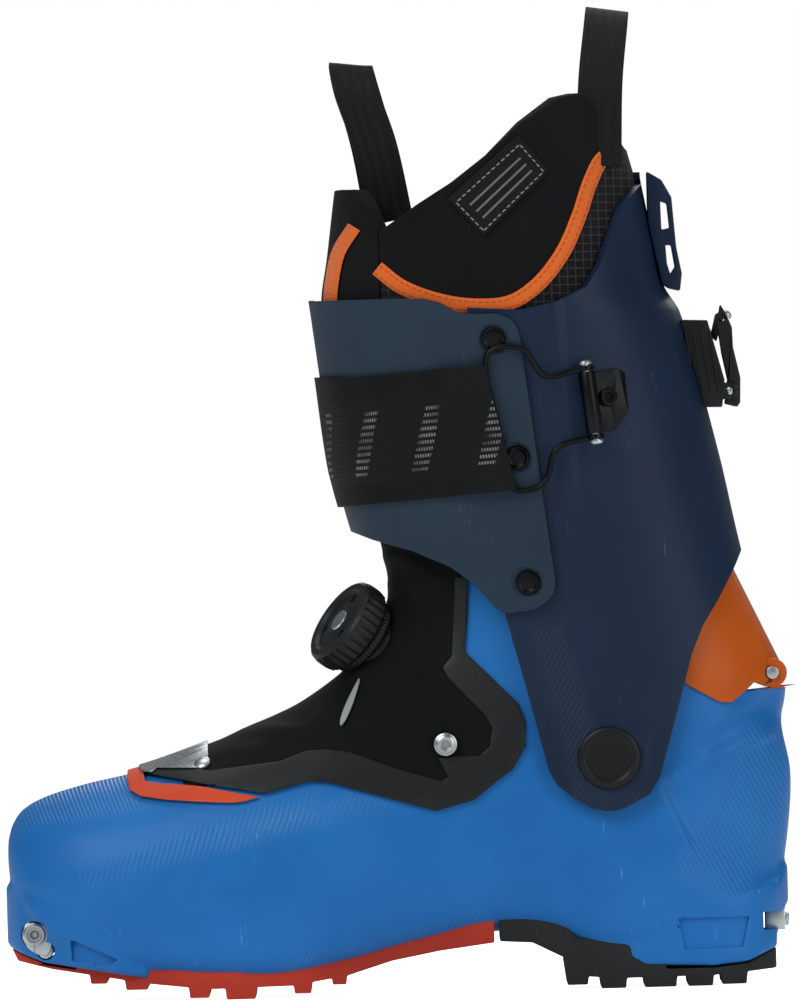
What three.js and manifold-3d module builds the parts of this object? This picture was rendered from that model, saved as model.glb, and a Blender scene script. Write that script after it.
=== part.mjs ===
// An alpine touring ski boot for the left foot, mondo size 27.5, with its 287 mm sole.
// Millimetres. +Z is up, the toe points to -X, the heel to +X, and the outer side of the foot is -Y.
// The lower shell holds the foot, the cuff turns on it at the ankle, and the rear spine follows the cuff.
// The origin is on the ground below the ankle's axis, in the middle of the heel's second tread lug.
import * as THREE from "three";
import { mergeVertices } from "three/addons/utils/BufferGeometryUtils.js";
import Module from "manifold-3d";

const wasm = await Module();
wasm.setup();

// Driving dimensions
const GAP = 0.35; // clearance between pieces that touch on the real boot
const SHELL_WALL = 3.2;
const CUFF_WALL = 3;
const FLAP_WALL = 2.4;
const STRAP_THICKNESS = 1.9;
const LINER_WALL = 6;
const FAR = 90; // half the width of a prism that cuts right across the boot
const ANKLE = { x: 0, z: 85 }; // the axis on which the cuff turns
const HEEL_HINGE = { x: 61.3, z: 114.5 }; // the axis of the rear spine
const TOE_PIN = { x: -213.4, z: 25.5 }; // the binding's pins seat here
const LEVER_HINGE = { x: 48.6, z: 219 };
const LATCH_HINGE = { x: 46.2, z: 246 };
const RIVETS = [[-38.6, 240.3], [-30.6, 196.4], [-28.1, 150.4]];
const LACE_SCREW = { x: -60, z: 91.6 };

const PLASTIC = { roughness: 0.45, metalness: 0 };
const RUBBER = { roughness: 0.9, metalness: 0 };
const FABRIC = { roughness: 0.95, metalness: 0 };
const METAL = { roughness: 0.3, metalness: 1 };
const BLUE = 0x2173c4;
const NAVY = 0x1f2d4a;
const SLATE = 0x2c3e50;
const ORANGE = 0xd9591a;
const RED = 0xc8391c;
const BLACK = 0x161616;
const GREY = 0x8a9096;
const STEEL = 0xb9bec2;

const boot = new THREE.Group();

// ---- Solids -------------------------------------------------------------------------------

// A manifold solid from a closed three.js geometry, turned inside out if its faces point inwards.
function solid(geometry) {
  const bare = new THREE.BufferGeometry();
  bare.setAttribute("position", geometry.getAttribute("position"));
  if (geometry.index) bare.setIndex(geometry.index);
  const merged = mergeVertices(bare, 1e-4);
  const vertProperties = merged.attributes.position.array;
  const triVerts = new Uint32Array(merged.index.array);
  const made = new wasm.Manifold(new wasm.Mesh({ numProp: 3, vertProperties, triVerts }));
  if (made.volume() >= 0) return made;
  for (let i = 0; i < triVerts.length; i += 3) {
    [triVerts[i + 1], triVerts[i + 2]] = [triVerts[i + 2], triVerts[i + 1]];
  }
  return new wasm.Manifold(new wasm.Mesh({ numProp: 3, vertProperties, triVerts }));
}

function join(...solids) {
  return solids.reduce((whole, piece) => whole.add(piece));
}

function cut(body, ...tools) {
  return tools.reduce((left, tool) => left.subtract(tool), body);
}

function common(...solids) {
  return solids.reduce((shared, piece) => shared.intersect(piece));
}

// Names one solid's largest body and adds it to the boot. Crumbs that a cut leaves behind are dropped.
function place(name, body, color, finish) {
  const largest = body.decompose().sort((a, b) => b.volume() - a.volume())[0];
  const { vertProperties, triVerts } = largest.getMesh();
  const geometry = new THREE.BufferGeometry();
  geometry.setAttribute("position", new THREE.BufferAttribute(vertProperties, 3));
  geometry.setIndex(new THREE.BufferAttribute(triVerts, 1));
  geometry.computeVertexNormals();
  const mesh = new THREE.Mesh(geometry, new THREE.MeshStandardMaterial({ color, ...finish }));
  mesh.name = name;
  boot.add(mesh);
  return largest;
}

// A closed skin over rings of points. Every ring has the same number of points.
function skin(rings) {
  const round = rings[0].length;
  const positions = rings.flat().flatMap((p) => [p.x, p.y, p.z]);
  const faces = [];
  for (let i = 0; i + 1 < rings.length; i++) {
    for (let j = 0; j < round; j++) {
      const a = i * round + j;
      const b = i * round + ((j + 1) % round);
      faces.push(a, b, b + round, a, b + round, a + round);
    }
  }
  for (const i of [0, rings.length - 1]) {
    const middle = rings[i].reduce((sum, p) => sum.add(p), new THREE.Vector3()).divideScalar(round);
    const hub = positions.push(middle.x, middle.y, middle.z) / 3 - 1;
    for (let j = 0; j < round; j++) {
      const a = i * round + j;
      const b = i * round + ((j + 1) % round);
      faces.push(...(i === 0 ? [hub, b, a] : [hub, a, b]));
    }
  }
  const geometry = new THREE.BufferGeometry();
  geometry.setAttribute("position", new THREE.Float32BufferAttribute(positions, 3));
  geometry.setIndex(faces);
  return solid(geometry);
}

// A prism across the boot from its outline in the side view.
function sidePrism(outline, yLow = -FAR, yHigh = FAR) {
  const shape = new THREE.Shape(outline.map(([x, z]) => new THREE.Vector2(x, z)));
  const geometry = new THREE.ExtrudeGeometry(shape, { depth: yHigh - yLow, bevelEnabled: false });
  return solid(geometry.rotateX(Math.PI / 2).translate(0, yHigh, 0));
}

// An upright prism from its outline in the plan view.
function planPrism(outline, zLow, zHigh) {
  const shape = new THREE.Shape(outline.map(([x, y]) => new THREE.Vector2(x, y)));
  const geometry = new THREE.ExtrudeGeometry(shape, { depth: zHigh - zLow, bevelEnabled: false });
  return solid(geometry.translate(0, 0, zLow));
}

function box(x0, x1, y0, y1, z0, z1) {
  const geometry = new THREE.BoxGeometry(x1 - x0, y1 - y0, z1 - z0);
  return solid(geometry.translate((x0 + x1) / 2, (y0 + y1) / 2, (z0 + z1) / 2));
}

// A turned solid from [radius, height] pairs, laid from a point along a direction.
function turned(profile, from, direction, sides = 14) {
  const ends = [[0, profile[0][1]], ...profile, [0, profile.at(-1)[1]]];
  const geometry = new THREE.LatheGeometry(ends.map(([r, h]) => new THREE.Vector2(r, h)), sides);
  const lie = new THREE.Quaternion().setFromUnitVectors(
    new THREE.Vector3(0, 1, 0),
    new THREE.Vector3(...direction).normalize(),
  );
  return solid(geometry.applyQuaternion(lie).translate(...from));
}

function rod(from, to, radius, sides = 12) {
  const along = to.map((v, i) => v - from[i]);
  return turned([[radius, 0], [radius, Math.hypot(...along)]], from, along, sides);
}

// A rod along Y at a point of the side view.
function pin({ x, z }, yLow, yHigh, radius, sides = 14) {
  return rod([x, yLow, z], [x, yHigh, z], radius, sides);
}

// A screw or rivet with its head on a face at the point, and its shank the other way.
function screw(at, outward, head, height, shank, length) {
  const profile = [[shank, -length], [shank, 0], [head, 0], [head, height * 0.6], [head * 0.72, height]];
  const normal = new THREE.Vector3(...outward).normalize();
  const socketFoot = normal.clone().multiplyScalar(height * 0.4).add(new THREE.Vector3(...at));
  const socket = turned([[head * 0.42, 0], [head * 0.42, height]], socketFoot.toArray(), outward, 6);
  return cut(turned(profile, at, outward, 12), socket);
}

function smooth(points, count, closed = false) {
  const path = points.map(([a, b]) => new THREE.Vector3(a, b, 0));
  const found = new THREE.CatmullRomCurve3(path, closed, "centripetal").getPoints(count);
  return (closed ? found.slice(0, -1) : found).map((p) => [p.x, p.y]);
}

function arc({ x, z }, radius, fromDegrees, toDegrees, count) {
  return Array.from({ length: count + 1 }, (_, i) => {
    const angle = THREE.MathUtils.degToRad(THREE.MathUtils.lerp(fromDegrees, toDegrees, i / count));
    return [x + radius * Math.cos(angle), z + radius * Math.sin(angle)];
  });
}

// A round wire through points.
function wire(points, radius, steps, sides = 6) {
  const path = new THREE.CatmullRomCurve3(points.map((p) => new THREE.Vector3(...p)), false, "centripetal");
  const round = arc({ x: 0, z: 0 }, radius, 0, 360, sides).slice(1);
  const section = new THREE.Shape(round.map(([x, y]) => new THREE.Vector2(x, y)));
  return solid(new THREE.ExtrudeGeometry(section, { steps, extrudePath: path, bevelEnabled: false }));
}

// A flat webbing band through points, its width along the given direction.
function webbing(points, widthDirection, width, thickness, steps) {
  const path = new THREE.CatmullRomCurve3(points.map((p) => new THREE.Vector3(...p)), false, "centripetal");
  const across = new THREE.Vector3(...widthDirection);
  const rings = Array.from({ length: steps + 1 }, (_, i) => {
    const middle = path.getPointAt(i / steps);
    const tangent = path.getTangentAt(i / steps);
    const flat = across.clone().addScaledVector(tangent, -across.dot(tangent)).normalize();
    const normal = new THREE.Vector3().crossVectors(tangent, flat);
    return [[1, 1], [-1, 1], [-1, -1], [1, -1]].map(([a, b]) =>
      middle.clone().addScaledVector(flat, (a * width) / 2).addScaledVector(normal, (b * thickness) / 2));
  });
  return skin(rings);
}

// ---- The foot's form ----------------------------------------------------------------------

// Ribs from the toe to above the ankle. Each has its upper x and z, its lower x and z, its half width,
// and the power that squares its lower half.
const FOOT_RIBS = [
  [-222.6, 60, -222.8, 52, 10, 2.2],
  [-220.8, 66, -221.8, 42, 21, 2.4],
  [-216.7, 71.5, -218.7, 32, 29.5, 2.8],
  [-208.2, 76, -211.2, 20, 37.5, 3.2],
  [-193.2, 80.3, -195.2, 12.8, 45, 3.6],
  [-173.2, 84.5, -172.2, 9.2, 49.5, 4],
  [-151.2, 91.5, -148.2, 6.8, 51.5, 4],
  [-130.2, 99.5, -123.2, 6.3, 50.5, 4],
  [-112.2, 108, -98.2, 10.6, 47, 4],
  [-98.2, 117.5, -71.2, 16.8, 42.5, 4],
  [-87.2, 129.5, -43.2, 21.8, 39.5, 3.8],
  [-81.2, 140, -21.2, 18.8, 38, 3.6],
  [-78.7, 148, 2.8, 8.6, 37.5, 3.4],
  [-79.2, 155, 31.8, 7.4, 37, 3],
  [-80.2, 161, 54.8, 11, 36.5, 2.6],
  [-81.2, 166, 61.3, 32, 36, 2.4],
  [-82.2, 171, 65.8, 57, 35.5, 2.3],
  [-83.2, 176, 67.2, 78, 35, 2.3],
  [-83.2, 182, 64.3, 96, 35, 2.3],
  [-83.2, 190, 66.3, 110, 35, 2.3],
  [-84.2, 215, 66.8, 150, 36, 2.3],
];
const RIB_POINTS = 20;
const WIDEST_AT = 0.42; // share of a rib's height at which the foot is widest
const UPPER_POWER = 2.25;

// The point of one rib at an angle from its top, grown outwards by an offset. Angles above 0 are on the
// inner side.
function ribPoint([topX, topZ, lowX, lowZ, half, lowerPower], degrees, offset) {
  const up = new THREE.Vector2(topX - lowX, topZ - lowZ);
  const height = up.length() + 2 * offset;
  up.normalize();
  const [c, s] = [Math.cos(THREE.MathUtils.degToRad(degrees)), Math.sin(THREE.MathUtils.degToRad(degrees))];
  const power = 2 / (c > 0 ? UPPER_POWER : lowerPower);
  const rise = Math.sign(c) * Math.abs(c) ** power;
  const at = height * (WIDEST_AT + rise * (rise > 0 ? 1 - WIDEST_AT : WIDEST_AT)) - offset;
  const y = (half + offset) * Math.sign(s) * Math.abs(s) ** power;
  return new THREE.Vector3(lowX + up.x * at, y, lowZ + up.y * at);
}

// A point on the foot's form between two ribs, where place 10.5 is half way from rib 10 to rib 11.
function footPoint(place, degrees, offset) {
  const low = FOOT_RIBS[Math.floor(place)];
  const high = FOOT_RIBS[Math.min(Math.floor(place) + 1, FOOT_RIBS.length - 1)];
  const t = place - Math.floor(place);
  return ribPoint(low, degrees, offset).lerp(ribPoint(high, degrees, offset), t).toArray();
}

function footForm(offset, firstRib = 0, around = RIB_POINTS) {
  const rings = FOOT_RIBS.slice(firstRib).map((rib) =>
    Array.from({ length: around }, (_, i) => ribPoint(rib, (360 * i) / around, offset)));
  return skin(rings);
}

// ---- The leg's form -----------------------------------------------------------------------

// Level slices: height, front x, rear x and half width.
const CUFF_SLICES = [
  [40, -70, 68, 42],
  [100, -72, 63, 42.4],
  [140, -80, 57, 44.5],
  [160, -87, 51.4, 46.2],
  [193, -95.7, 44.7, 49.5],
  [233, -100.7, 35.3, 53.5],
  [250, -102.7, 31, 55],
  [258, -103.7, 26, 55.5],
  [275, -106, 22.5, 56.5],
  [310, -110, 16, 58.5],
];
const LINER_SLICES = [
  [60, -62, 26, 27],
  [100, -65, 30, 28],
  [140, -68, 33, 28.5],
  [168, -70, 30, 35],
  [193, -88, 33, 44],
  [233, -95, 29.5, 49.5],
  [256, -101.5, 21, 51],
  [272, -99, 18, 51.5],
  [300, -95, 14.5, 52],
  [340, -86, 4, 51],
];
const SPINE_SLICES = [
  [90, -81, 71, 37.8],
  [117, -81, 65.2, 38],
  [153.4, -81, 48.1, 40.6],
  [185, -83, 36.5, 41.5],
];
const SLICE_POINTS = 24;
const SLICE_POWER = 2.35;

function sliceForm(slices, offset) {
  const rings = slices.map(([z, front, rear, half]) => {
    const middle = (front + rear) / 2;
    const depth = (rear - front) / 2 + offset;
    return Array.from({ length: SLICE_POINTS }, (_, i) => {
      const angle = (i / SLICE_POINTS) * 2 * Math.PI;
      const [c, s] = [Math.cos(angle), Math.sin(angle)];
      const x = middle + depth * Math.sign(c) * Math.abs(c) ** (2 / SLICE_POWER);
      const y = (half + offset) * Math.sign(s) * Math.abs(s) ** (2 / SLICE_POWER);
      return new THREE.Vector3(x, y, z);
    });
  });
  return skin(rings);
}

// The distance from the middle plane to a sliced form's face at one point of the side view.
function reach(slices, x, z, offset = 0) {
  const above = slices.findIndex((slice) => slice[0] >= z);
  const [low, high] = [slices[above - 1], slices[above]];
  const t = (z - low[0]) / (high[0] - low[0]);
  const [, front, rear, half] = low.map((v, i) => THREE.MathUtils.lerp(v, high[i], t));
  const c = Math.abs(x - (front + rear) / 2) / ((rear - front) / 2 + offset);
  return (half + offset) * (1 - Math.min(1, c) ** SLICE_POWER) ** (1 / SLICE_POWER);
}

// The layer of a sliced form between two offsets, inside an outline of the side view.
function layer(slices, inner, outer, outline, yLow = -FAR, yHigh = FAR) {
  return cut(common(sliceForm(slices, outer), sidePrism(outline, yLow, yHigh)), sliceForm(slices, inner));
}

// ---- Lower shell --------------------------------------------------------------------------

const TOE_LEDGE_PLAN = [
  [-174, -38], [-198, -33.5], [-210, -32], [-217.5, -29], [-222.3, -19], [-223.8, 0],
  [-222.3, 19], [-217.5, 29], [-210, 32], [-198, 33.5], [-174, 38],
];
const HEEL_LEDGE_PLAN = [
  [19, -34], [41, -33], [57, -25], [63.5, -14], [65.4, 0], [63.5, 14], [57, 25], [41, 33], [19, 34],
];
const COLLAR_EDGE = [
  [-121, 230], [-69, 168], [-47, 164], [-11, 144], [23, 124], [50, 108], [60, 109], [80, 109], [109, 230],
];
const INSTEP_SLOT = [
  [-165, 120], [-165, 89], [-141, 84], [-109, 88], [-67, 79], [-49, 86], [-43, 100], [-57, 124], [-57, 150],
  [-71, 200], [-171, 200],
];

function toeLedge(grow) {
  const side = [
    [-228, 24 - grow], [-219.9, 19.4 - grow], [-210, 15.2 - grow], [-174, 8.6 - grow], [-174, 18],
    [-206, 34], [-218, 42], [-228, 42],
  ];
  return common(planPrism(smooth(TOE_LEDGE_PLAN, 14), 0, 60), sidePrism(side));
}

function heelLedge(grow) {
  const side = [
    [19, 7 - grow], [37, 7 - grow], [49.4, 8.4 - grow], [60.3, 13.6 - grow], [60.5, 20], [63.8, 22],
    [63.8, 29], [70, 31], [70, 39], [61.5, 43.5], [29, 31], [19, 31],
  ];
  return common(planPrism(smooth(HEEL_LEDGE_PLAN, 12), 0, 60), sidePrism(side));
}

// The toe fitting's outline in the side view: a socket boss with a smaller foot below and behind it.
function toeFitting(grow, half) {
  const foot = { x: TOE_PIN.x + 4, z: TOE_PIN.z - 6 };
  return join(pin(TOE_PIN, -half, half, 4.6 + grow, 14), pin(foot, -half, half, 3 + grow, 10));
}

function lowerShell() {
  const outside = cut(join(footForm(0), toeLedge(0), heelLedge(0)), sidePrism(COLLAR_EDGE));
  const ankleBoss = pin(ANKLE, -38.2, 38.2, 10, 20);
  const knuckle = pin(HEEL_HINGE, -12.5, 12.5, 4.6);
  const shelf = box(53, 64, -12.5, 12.5, 100, HEEL_HINGE.z);
  const body = cut(join(outside, ankleBoss, knuckle, shelf), footForm(-SHELL_WALL, 2));
  const heelPocket = [[15, 24.5], [49, 25], [47, 12], [9, 11]];
  const toePocket = [[-200.6, 24.5], [-182, 15.8], [-185, 13.4], [-200, 15.4]];
  const spineRoom = [[14, 130], [18, 102], [30, 95], [47, 94], [57, 103], [57, 130]];
  return cut(
    body,
    layer(SPINE_SLICES, -4.2, 6, spineRoom),
    sidePrism(INSTEP_SLOT),
    pin(HEEL_HINGE, -30, 30, 1.65),
    toeFitting(GAP, FAR),
    pin(ANKLE, -FAR, FAR, 6.35, 16),
    box(56, 80, -13.4, 13.4, 19.2, 27.6),
    sidePrism(heelPocket, -FAR, -32.8),
    sidePrism(heelPocket, 32.8, FAR),
    sidePrism(toePocket, -FAR, -32.4),
    sidePrism(toePocket, 32.4, FAR),
  );
}

// ---- Soles --------------------------------------------------------------------------------

const SOLE_PLAN = [
  [-223.5, 0], [-218, -22], [-200, -33], [-173, -43], [-145, -46.5], [-112, -42], [-72, -35], [-33, -32],
  [9, -32], [42, -31], [56, -22], [62, 0], [56, 22], [42, 31], [9, 32], [-33, 32], [-72, 35], [-112, 42],
  [-145, 46.5], [-173, 43], [-200, 33], [-218, 22],
];
const FRONT_TREAD = [
  [-224, 24], [-219.9, 15.8], [-207, 12.6], [-194, 10.4], [-172, 6.6], [-150, 4], [-118, 4.4], [-98, 7.6],
  [-82, 12.4], [-64, 15.6], [-44, 18],
];
const FRONT_LUGS = [
  [-193, -187, 6.9], [-180, -172, 4.4], [-156.5, -149.5, 0.9], [-143, -132.5, 0], [-118, -112, 1.5],
  [-104, -99, 4.3],
];
const HEEL_TREAD = [[-42, 18.4], [-30, 17.6], [-19, 12], [-14, 5], [0, 3.6], [36, 3.8], [60, 5.6]];
const HEEL_LUGS = [[-17.5, -10, 1.6], [-5, 4, 0], [11, 22.5, 0], [27, 36, 0], [39.5, 48.5, 0.4]];
const TREAD_THICKNESS = 14;

// A sole's web follows its tread line, and its lugs stand down from the web. The shell shapes its top.
function sole(tread, lugs, centreGroove) {
  const web = [...tread, ...tread.map(([x, z]) => [x, z + TREAD_THICKNESS]).reverse()];
  const bars = lugs.map(([from, to, foot]) =>
    sidePrism([[from - 1.2, foot + 9], [from, foot], [to, foot], [to + 1.2, foot + 9]]));
  const lugBars = common(cut(join(...bars), ...centreGroove), underside(tread));
  const plan = planPrism(smooth(SOLE_PLAN, 32, true), -5, 60);
  const shell = join(footForm(GAP), toeLedge(GAP), heelLedge(GAP));
  return cut(common(join(sidePrism(web), lugBars), plan), shell);
}

// Everything below a tread line raised a little, so that the lugs run into the web and stop there.
function underside(tread) {
  const raised = tread.map(([x, z]) => [x, z + 1.5]);
  return sidePrism([[raised[0][0], -6], ...raised, [raised.at(-1)[0], -6]]);
}

// ---- Binding fittings ---------------------------------------------------------------------

const TOE_FITTING_HALF = 32.6;

function toeInsert() {
  const cone = [[3, 0], [2, 4.6], [0.6, 6]];
  const seat = (side) =>
    turned(cone, [TOE_PIN.x, side * (TOE_FITTING_HALF + 0.2), TOE_PIN.z], [0, -side, 0], 16);
  return cut(toeFitting(0, TOE_FITTING_HALF), seat(-1), seat(1), footForm(-SHELL_WALL - GAP, 2));
}

function heelInsert() {
  const slot = (y) => box(59.5, 70, y - 2.2, y + 2.2, 15, 25.4);
  const screwHole = rod([50, 0, 23.4], [70, 0, 23.4], 1.5, 12);
  return cut(box(56.4, 63.6, -13, 13, 19.55, 27.2), slot(-8), slot(8), screwHole);
}

// ---- Inside the lower shell ---------------------------------------------------------------

const FLOOR = [[-235, 16.5], [-141, 16.5], [-21, 28], [80, 31]]; // the top of the boot board

function belowFloor(raise) {
  return sidePrism([[-235, -20], ...FLOOR.map(([x, z]) => [x, z + raise]), [80, -20]]);
}

const INSIDE = -SHELL_WALL - 1; // the offset of what fills the shell
const INSIDE_POINTS = 14;
const LINER_BEND = 66; // radius about the ankle of the joint between the liner's foot and its leg

function linerFoot() {
  const keep = sidePrism([
    [-240, -10], [80, -10], [80, 78], [40, 82], [12, 90], [0, 116],
    ...arc(ANKLE, LINER_BEND - 1, 90, 142, 7), [-110, 122], [-240, 122],
  ]);
  const foot = cut(footForm(INSIDE - GAP, 2, INSIDE_POINTS), belowFloor(GAP));
  const hollow = cut(footForm(INSIDE - LINER_WALL, 4, INSIDE_POINTS), belowFloor(GAP + 5));
  const mouth = sidePrism([[-70, 95], [-50, 60], [20, 60], [60, 200], [-90, 200]], -23, 23);
  return cut(common(foot, keep), hollow, mouth);
}

function footBed() {
  const inside = footForm(INSIDE - GAP - LINER_WALL, 4, INSIDE_POINTS);
  return cut(common(inside, belowFloor(9), box(-200, 45, -FAR, FAR, 0, 60)), belowFloor(GAP * 2 + 5));
}

function bootBoard() {
  return common(footForm(INSIDE, 2, INSIDE_POINTS), belowFloor(0), box(-198, 46, -FAR, FAR, 0, 60));
}

// ---- Gaiter over the instep ---------------------------------------------------------------

// The gaiter's lower edge on the shell, from the toe to the shin, and the inner edge of its moulded frame.
const GAITER_EDGE = [
  [-177.7, 79], [-173, 75], [-152, 72.8], [-138, 72.2], [-128, 74.5], [-110, 79.4], [-103, 78.7], [-81, 72.2],
  [-64, 67.2], [-50, 70.8], [-35, 82.5], [-30.7, 90], [-30.7, 100], [-33, 106], [-52, 125.5], [-50, 153],
];
const FRAME_INNER = [
  [-55, 153], [-57, 124], [-60.5, 120], [-45, 102], [-42.8, 97], [-45, 88], [-62, 79], [-79, 83.5], [-103, 91],
  [-121, 87.2], [-147, 84.6], [-149, 84.4],
];
const PLATE_END = -149.5; // the toe plate covers the gaiter in front of this
const GAITER_OUT = 1.4;

function gaiterSheet() {
  const over = sidePrism([...GAITER_EDGE, [-52, 160], [-106, 172], [-181, 130]]);
  return common(cut(footForm(GAITER_OUT), footForm(GAP)), over);
}

const TRIM_ZONE = [
  [-190, 60], [-128, 60], [-128, 74.8], [-136, 76.4], [-151, 79.2], [-171, 80.6], [-171.5, 120], [-190, 120],
];

function gaiterZones() {
  const sheet = gaiterSheet();
  const trim = common(sheet, sidePrism(TRIM_ZONE));
  const rest = cut(sheet, grown(TRIM_ZONE));
  const frameBand = sidePrism([...GAITER_EDGE, ...FRAME_INNER]);
  const plate = common(rest, box(-190, PLATE_END, -24, 24, 60, 140));
  const screwBore = pin(LACE_SCREW, -FAR, FAR, 2.3, 14);
  const behind = cut(rest, box(-190, PLATE_END + GAP, -FAR, FAR, 60, 140), screwBore);
  const half = (side) =>
    common(behind, frameBand, box(-240, 0, Math.min(0, side * FAR), Math.max(0, side * FAR), 0, 200));
  return { trim, plate, frameOuter: half(-1), frameInner: half(1), fabric: cut(behind, belowFabric()) };
}

// The trim's cutting outline, moved by the gap to leave clearance.
function grown(outline) {
  return sidePrism(outline.map(([x, z]) => [x + GAP, z + GAP]));
}

// Everything that isn't fabric: the frame with its clearance, and all below it.
function belowFabric() {
  const edge = FRAME_INNER.map(([x, z]) => [x - GAP, z + GAP]);
  return sidePrism([...edge, [-240, 84.7], [-240, 20], [20, 20], [20, 153]]);
}

// ---- Lace dial ----------------------------------------------------------------------------

const DIAL_SEAT = [-86.2, -9, 129.5];
const DIAL_AXIS = new THREE.Vector3(-0.75, -0.35, 0.56).normalize();

function dialPart(profile, sides) {
  return turned(profile, DIAL_SEAT, DIAL_AXIS.toArray(), sides);
}

const DIAL_BASE_RADIUS = 12.5;

function dialBase() {
  const body = dialPart([[DIAL_BASE_RADIUS, -4], [DIAL_BASE_RADIUS, 1.5], [10.5, 2.4], [10.5, 5.2]], 16);
  return cut(body, footForm(GAITER_OUT + GAP), dialPart([[2.2, -5], [2.2, 6]], 8));
}

function dialBezel() {
  const ring = dialPart([[13.6, 2.9], [15, 3.4], [15, 5.6]], 20);
  return cut(ring, dialPart([[10.95, 0], [10.95, 8]], 16));
}

function dialSpindle() {
  return dialPart([[1.8, 3.2], [1.8, 6.4], [3, 6.4], [3, 13.4]], 10);
}

function dialTab() {
  const places = [[8.75, -40], [9, -37], [9.3, -34]];
  const route = places.map(([place, degrees]) => footPoint(place, degrees, GAITER_OUT + 1.3));
  return cut(webbing(route, [0, -0.7, 0.7], 6, 1.5, 6), footForm(GAITER_OUT + GAP));
}

function dialKnob() {
  const profile = [[14.2, 6], [17.2, 7.5], [17.4, 14], [16, 16.6], [12.5, 16.6], [11.5, 15.2], [3, 15.2]];
  return cut(dialPart(profile, 20), dialPart([[3.4, 5], [3.4, 14]], 10));
}

// ---- Lace ---------------------------------------------------------------------------------

// The lace runs under the gaiter from the dial, over the slot and to the screw at the frame's corner.
const LACE_PLACES = [[9.9, -17], [9.6, -40], [9.7, -62], [10.15, -72]];

function lacePath(side) {
  return LACE_PLACES.map(([place, degrees]) => footPoint(place, side * -degrees, -1.7));
}

function lace(side) {
  return wire(lacePath(side), 0.6, 10);
}

function laceScrew(side) {
  const face = footPoint(10.2, side * 78, GAITER_OUT + 0.6);
  return screw([LACE_SCREW.x, face[1], LACE_SCREW.z], [0, side, 0], 4, 2, 1.9, 6.5);
}

// ---- Cuff ---------------------------------------------------------------------------------

const CUFF_OUTLINE = [
  [-48, 252], [-27.8, 250.7], [-14.9, 253.3], [-3.5, 258.6], [1.5, 265.9], [6.5, 278.1], [10.6, 287.5],
  [16.4, 294], [23.1, 300.8], [40, 301], [60, 200], [51.4, 160.4], [48.1, 153.4], [42.1, 142.5],
  [35.9, 132.8], [31.5, 122.4], [28.6, 112.1], [17.7, 75.1], ...arc(ANKLE, 20, -30, -140, 8),
  [-21.3, 76.5], [-31.1, 116.7], [-40, 150], [-44, 180],
];
const FLAP_OUTLINE = [
  [-120, 256.6], [-63.4, 255.8], [-57.4, 254.1], [-52.4, 251], [-43.9, 249.5], [-35.5, 249.7],
  [-30.5, 246.1], [-28.9, 241], [-21.3, 177], [-17.8, 148], [-24, 140.6], [-35.1, 139.1], [-38.5, 140],
  [-45.1, 148.7], [-55, 156.6], [-68.4, 162.9], [-82.8, 167.6], [-91.6, 171.4], [-92.8, 179], [-120, 186],
];

function rearCuff() {
  const body = layer(CUFF_SLICES, -CUFF_WALL, 0, CUFF_OUTLINE);
  const rivetHoles = RIVETS.map(([x, z]) => pin({ x, z }, -FAR, FAR, 2.4, 14));
  const front = box(-140, -58, -FAR, FAR, 0, 320);
  const housingHoles = HOUSING_STUDS.map(([y, z]) => rod([20, y, z], [60, y, z], 1.9));
  const ankleBore = pin(ANKLE, -FAR, FAR, 8.1, 16);
  return cut(body, ...rivetHoles, ...housingHoles, ...keeperHoles(), hookScrewHole(), front, ankleBore);
}

function frontFlap() {
  const body = layer(CUFF_SLICES, GAP, GAP + FLAP_WALL, FLAP_OUTLINE);
  return cut(body, ...RIVETS.map(([x, z]) => pin({ x, z }, -FAR, FAR, 2.4, 14)), ...keeperHoles());
}

function flapRivet([x, z], side) {
  const face = reach(CUFF_SLICES, x, z, GAP + FLAP_WALL) + 0.45;
  return screw([x, side * face, z], [0, side, 0], 4.4, 1.1, 2.05, 7);
}

const SPOILER_OUTLINE = [
  [20, 300.8], [25.4, 297.5], [28.9, 291], [30.2, 272.5], [32, 262.8], [31.2, 256.5], [27.2, 257.5], [20, 262],
];
const SPOILER_WINDOWS = [
  [[24.7, 289.9], [27.2, 289], [28, 279.8], [24.9, 279.1]],
  [[26.2, 273.6], [28.4, 273.5], [29.6, 265.5], [27.7, 262.7], [26.6, 266.6]],
];

function rearSpoiler() {
  const body = cut(sidePrism(SPOILER_OUTLINE, -15, 15), sliceForm(CUFF_SLICES, GAP));
  return cut(body, ...SPOILER_WINDOWS.map((window) => sidePrism(window)));
}

// Each side of the ankle has a bolt, a bush in the cuff's arm, and a threaded sleeve in the shell.
function ankleBolt(side) {
  const profile = [[3.85, -7.2], [3.85, 0], [11.6, 0], [11.6, 0.8], [10.4, 1.6]];
  const body = turned(profile, [ANKLE.x, side * 42.75, ANKLE.z], [0, side, 0], 20);
  return cut(body, turned([[3.4, 0], [3.4, 2]], [ANKLE.x, side * 43.4, ANKLE.z], [0, side, 0], 6));
}

function ankleRing(side, inner, outer, from, to) {
  const ring = (radius, more, sides) =>
    turned([[radius, from - more], [radius, to + more]], [ANKLE.x, 0, ANKLE.z], [0, side, 0], sides);
  return cut(ring(outer, 0, 16), ring(inner, 1, 12));
}

// ---- Rear spine ---------------------------------------------------------------------------

const SPINE_OUTLINE = [
  [28.6, 111.6], [41.1, 104.4], [45.6, 103.9], [50.9, 107.9], [54.7, 111.5], [57, 110.2],
  ...arc(HEEL_HINGE, 5.4, -100, 10, 5), [65.6, 118], [48.1, 153.4], [43, 165], [20, 165], [24, 130],
];
const SPINE_WALL = 2.2;

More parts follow.
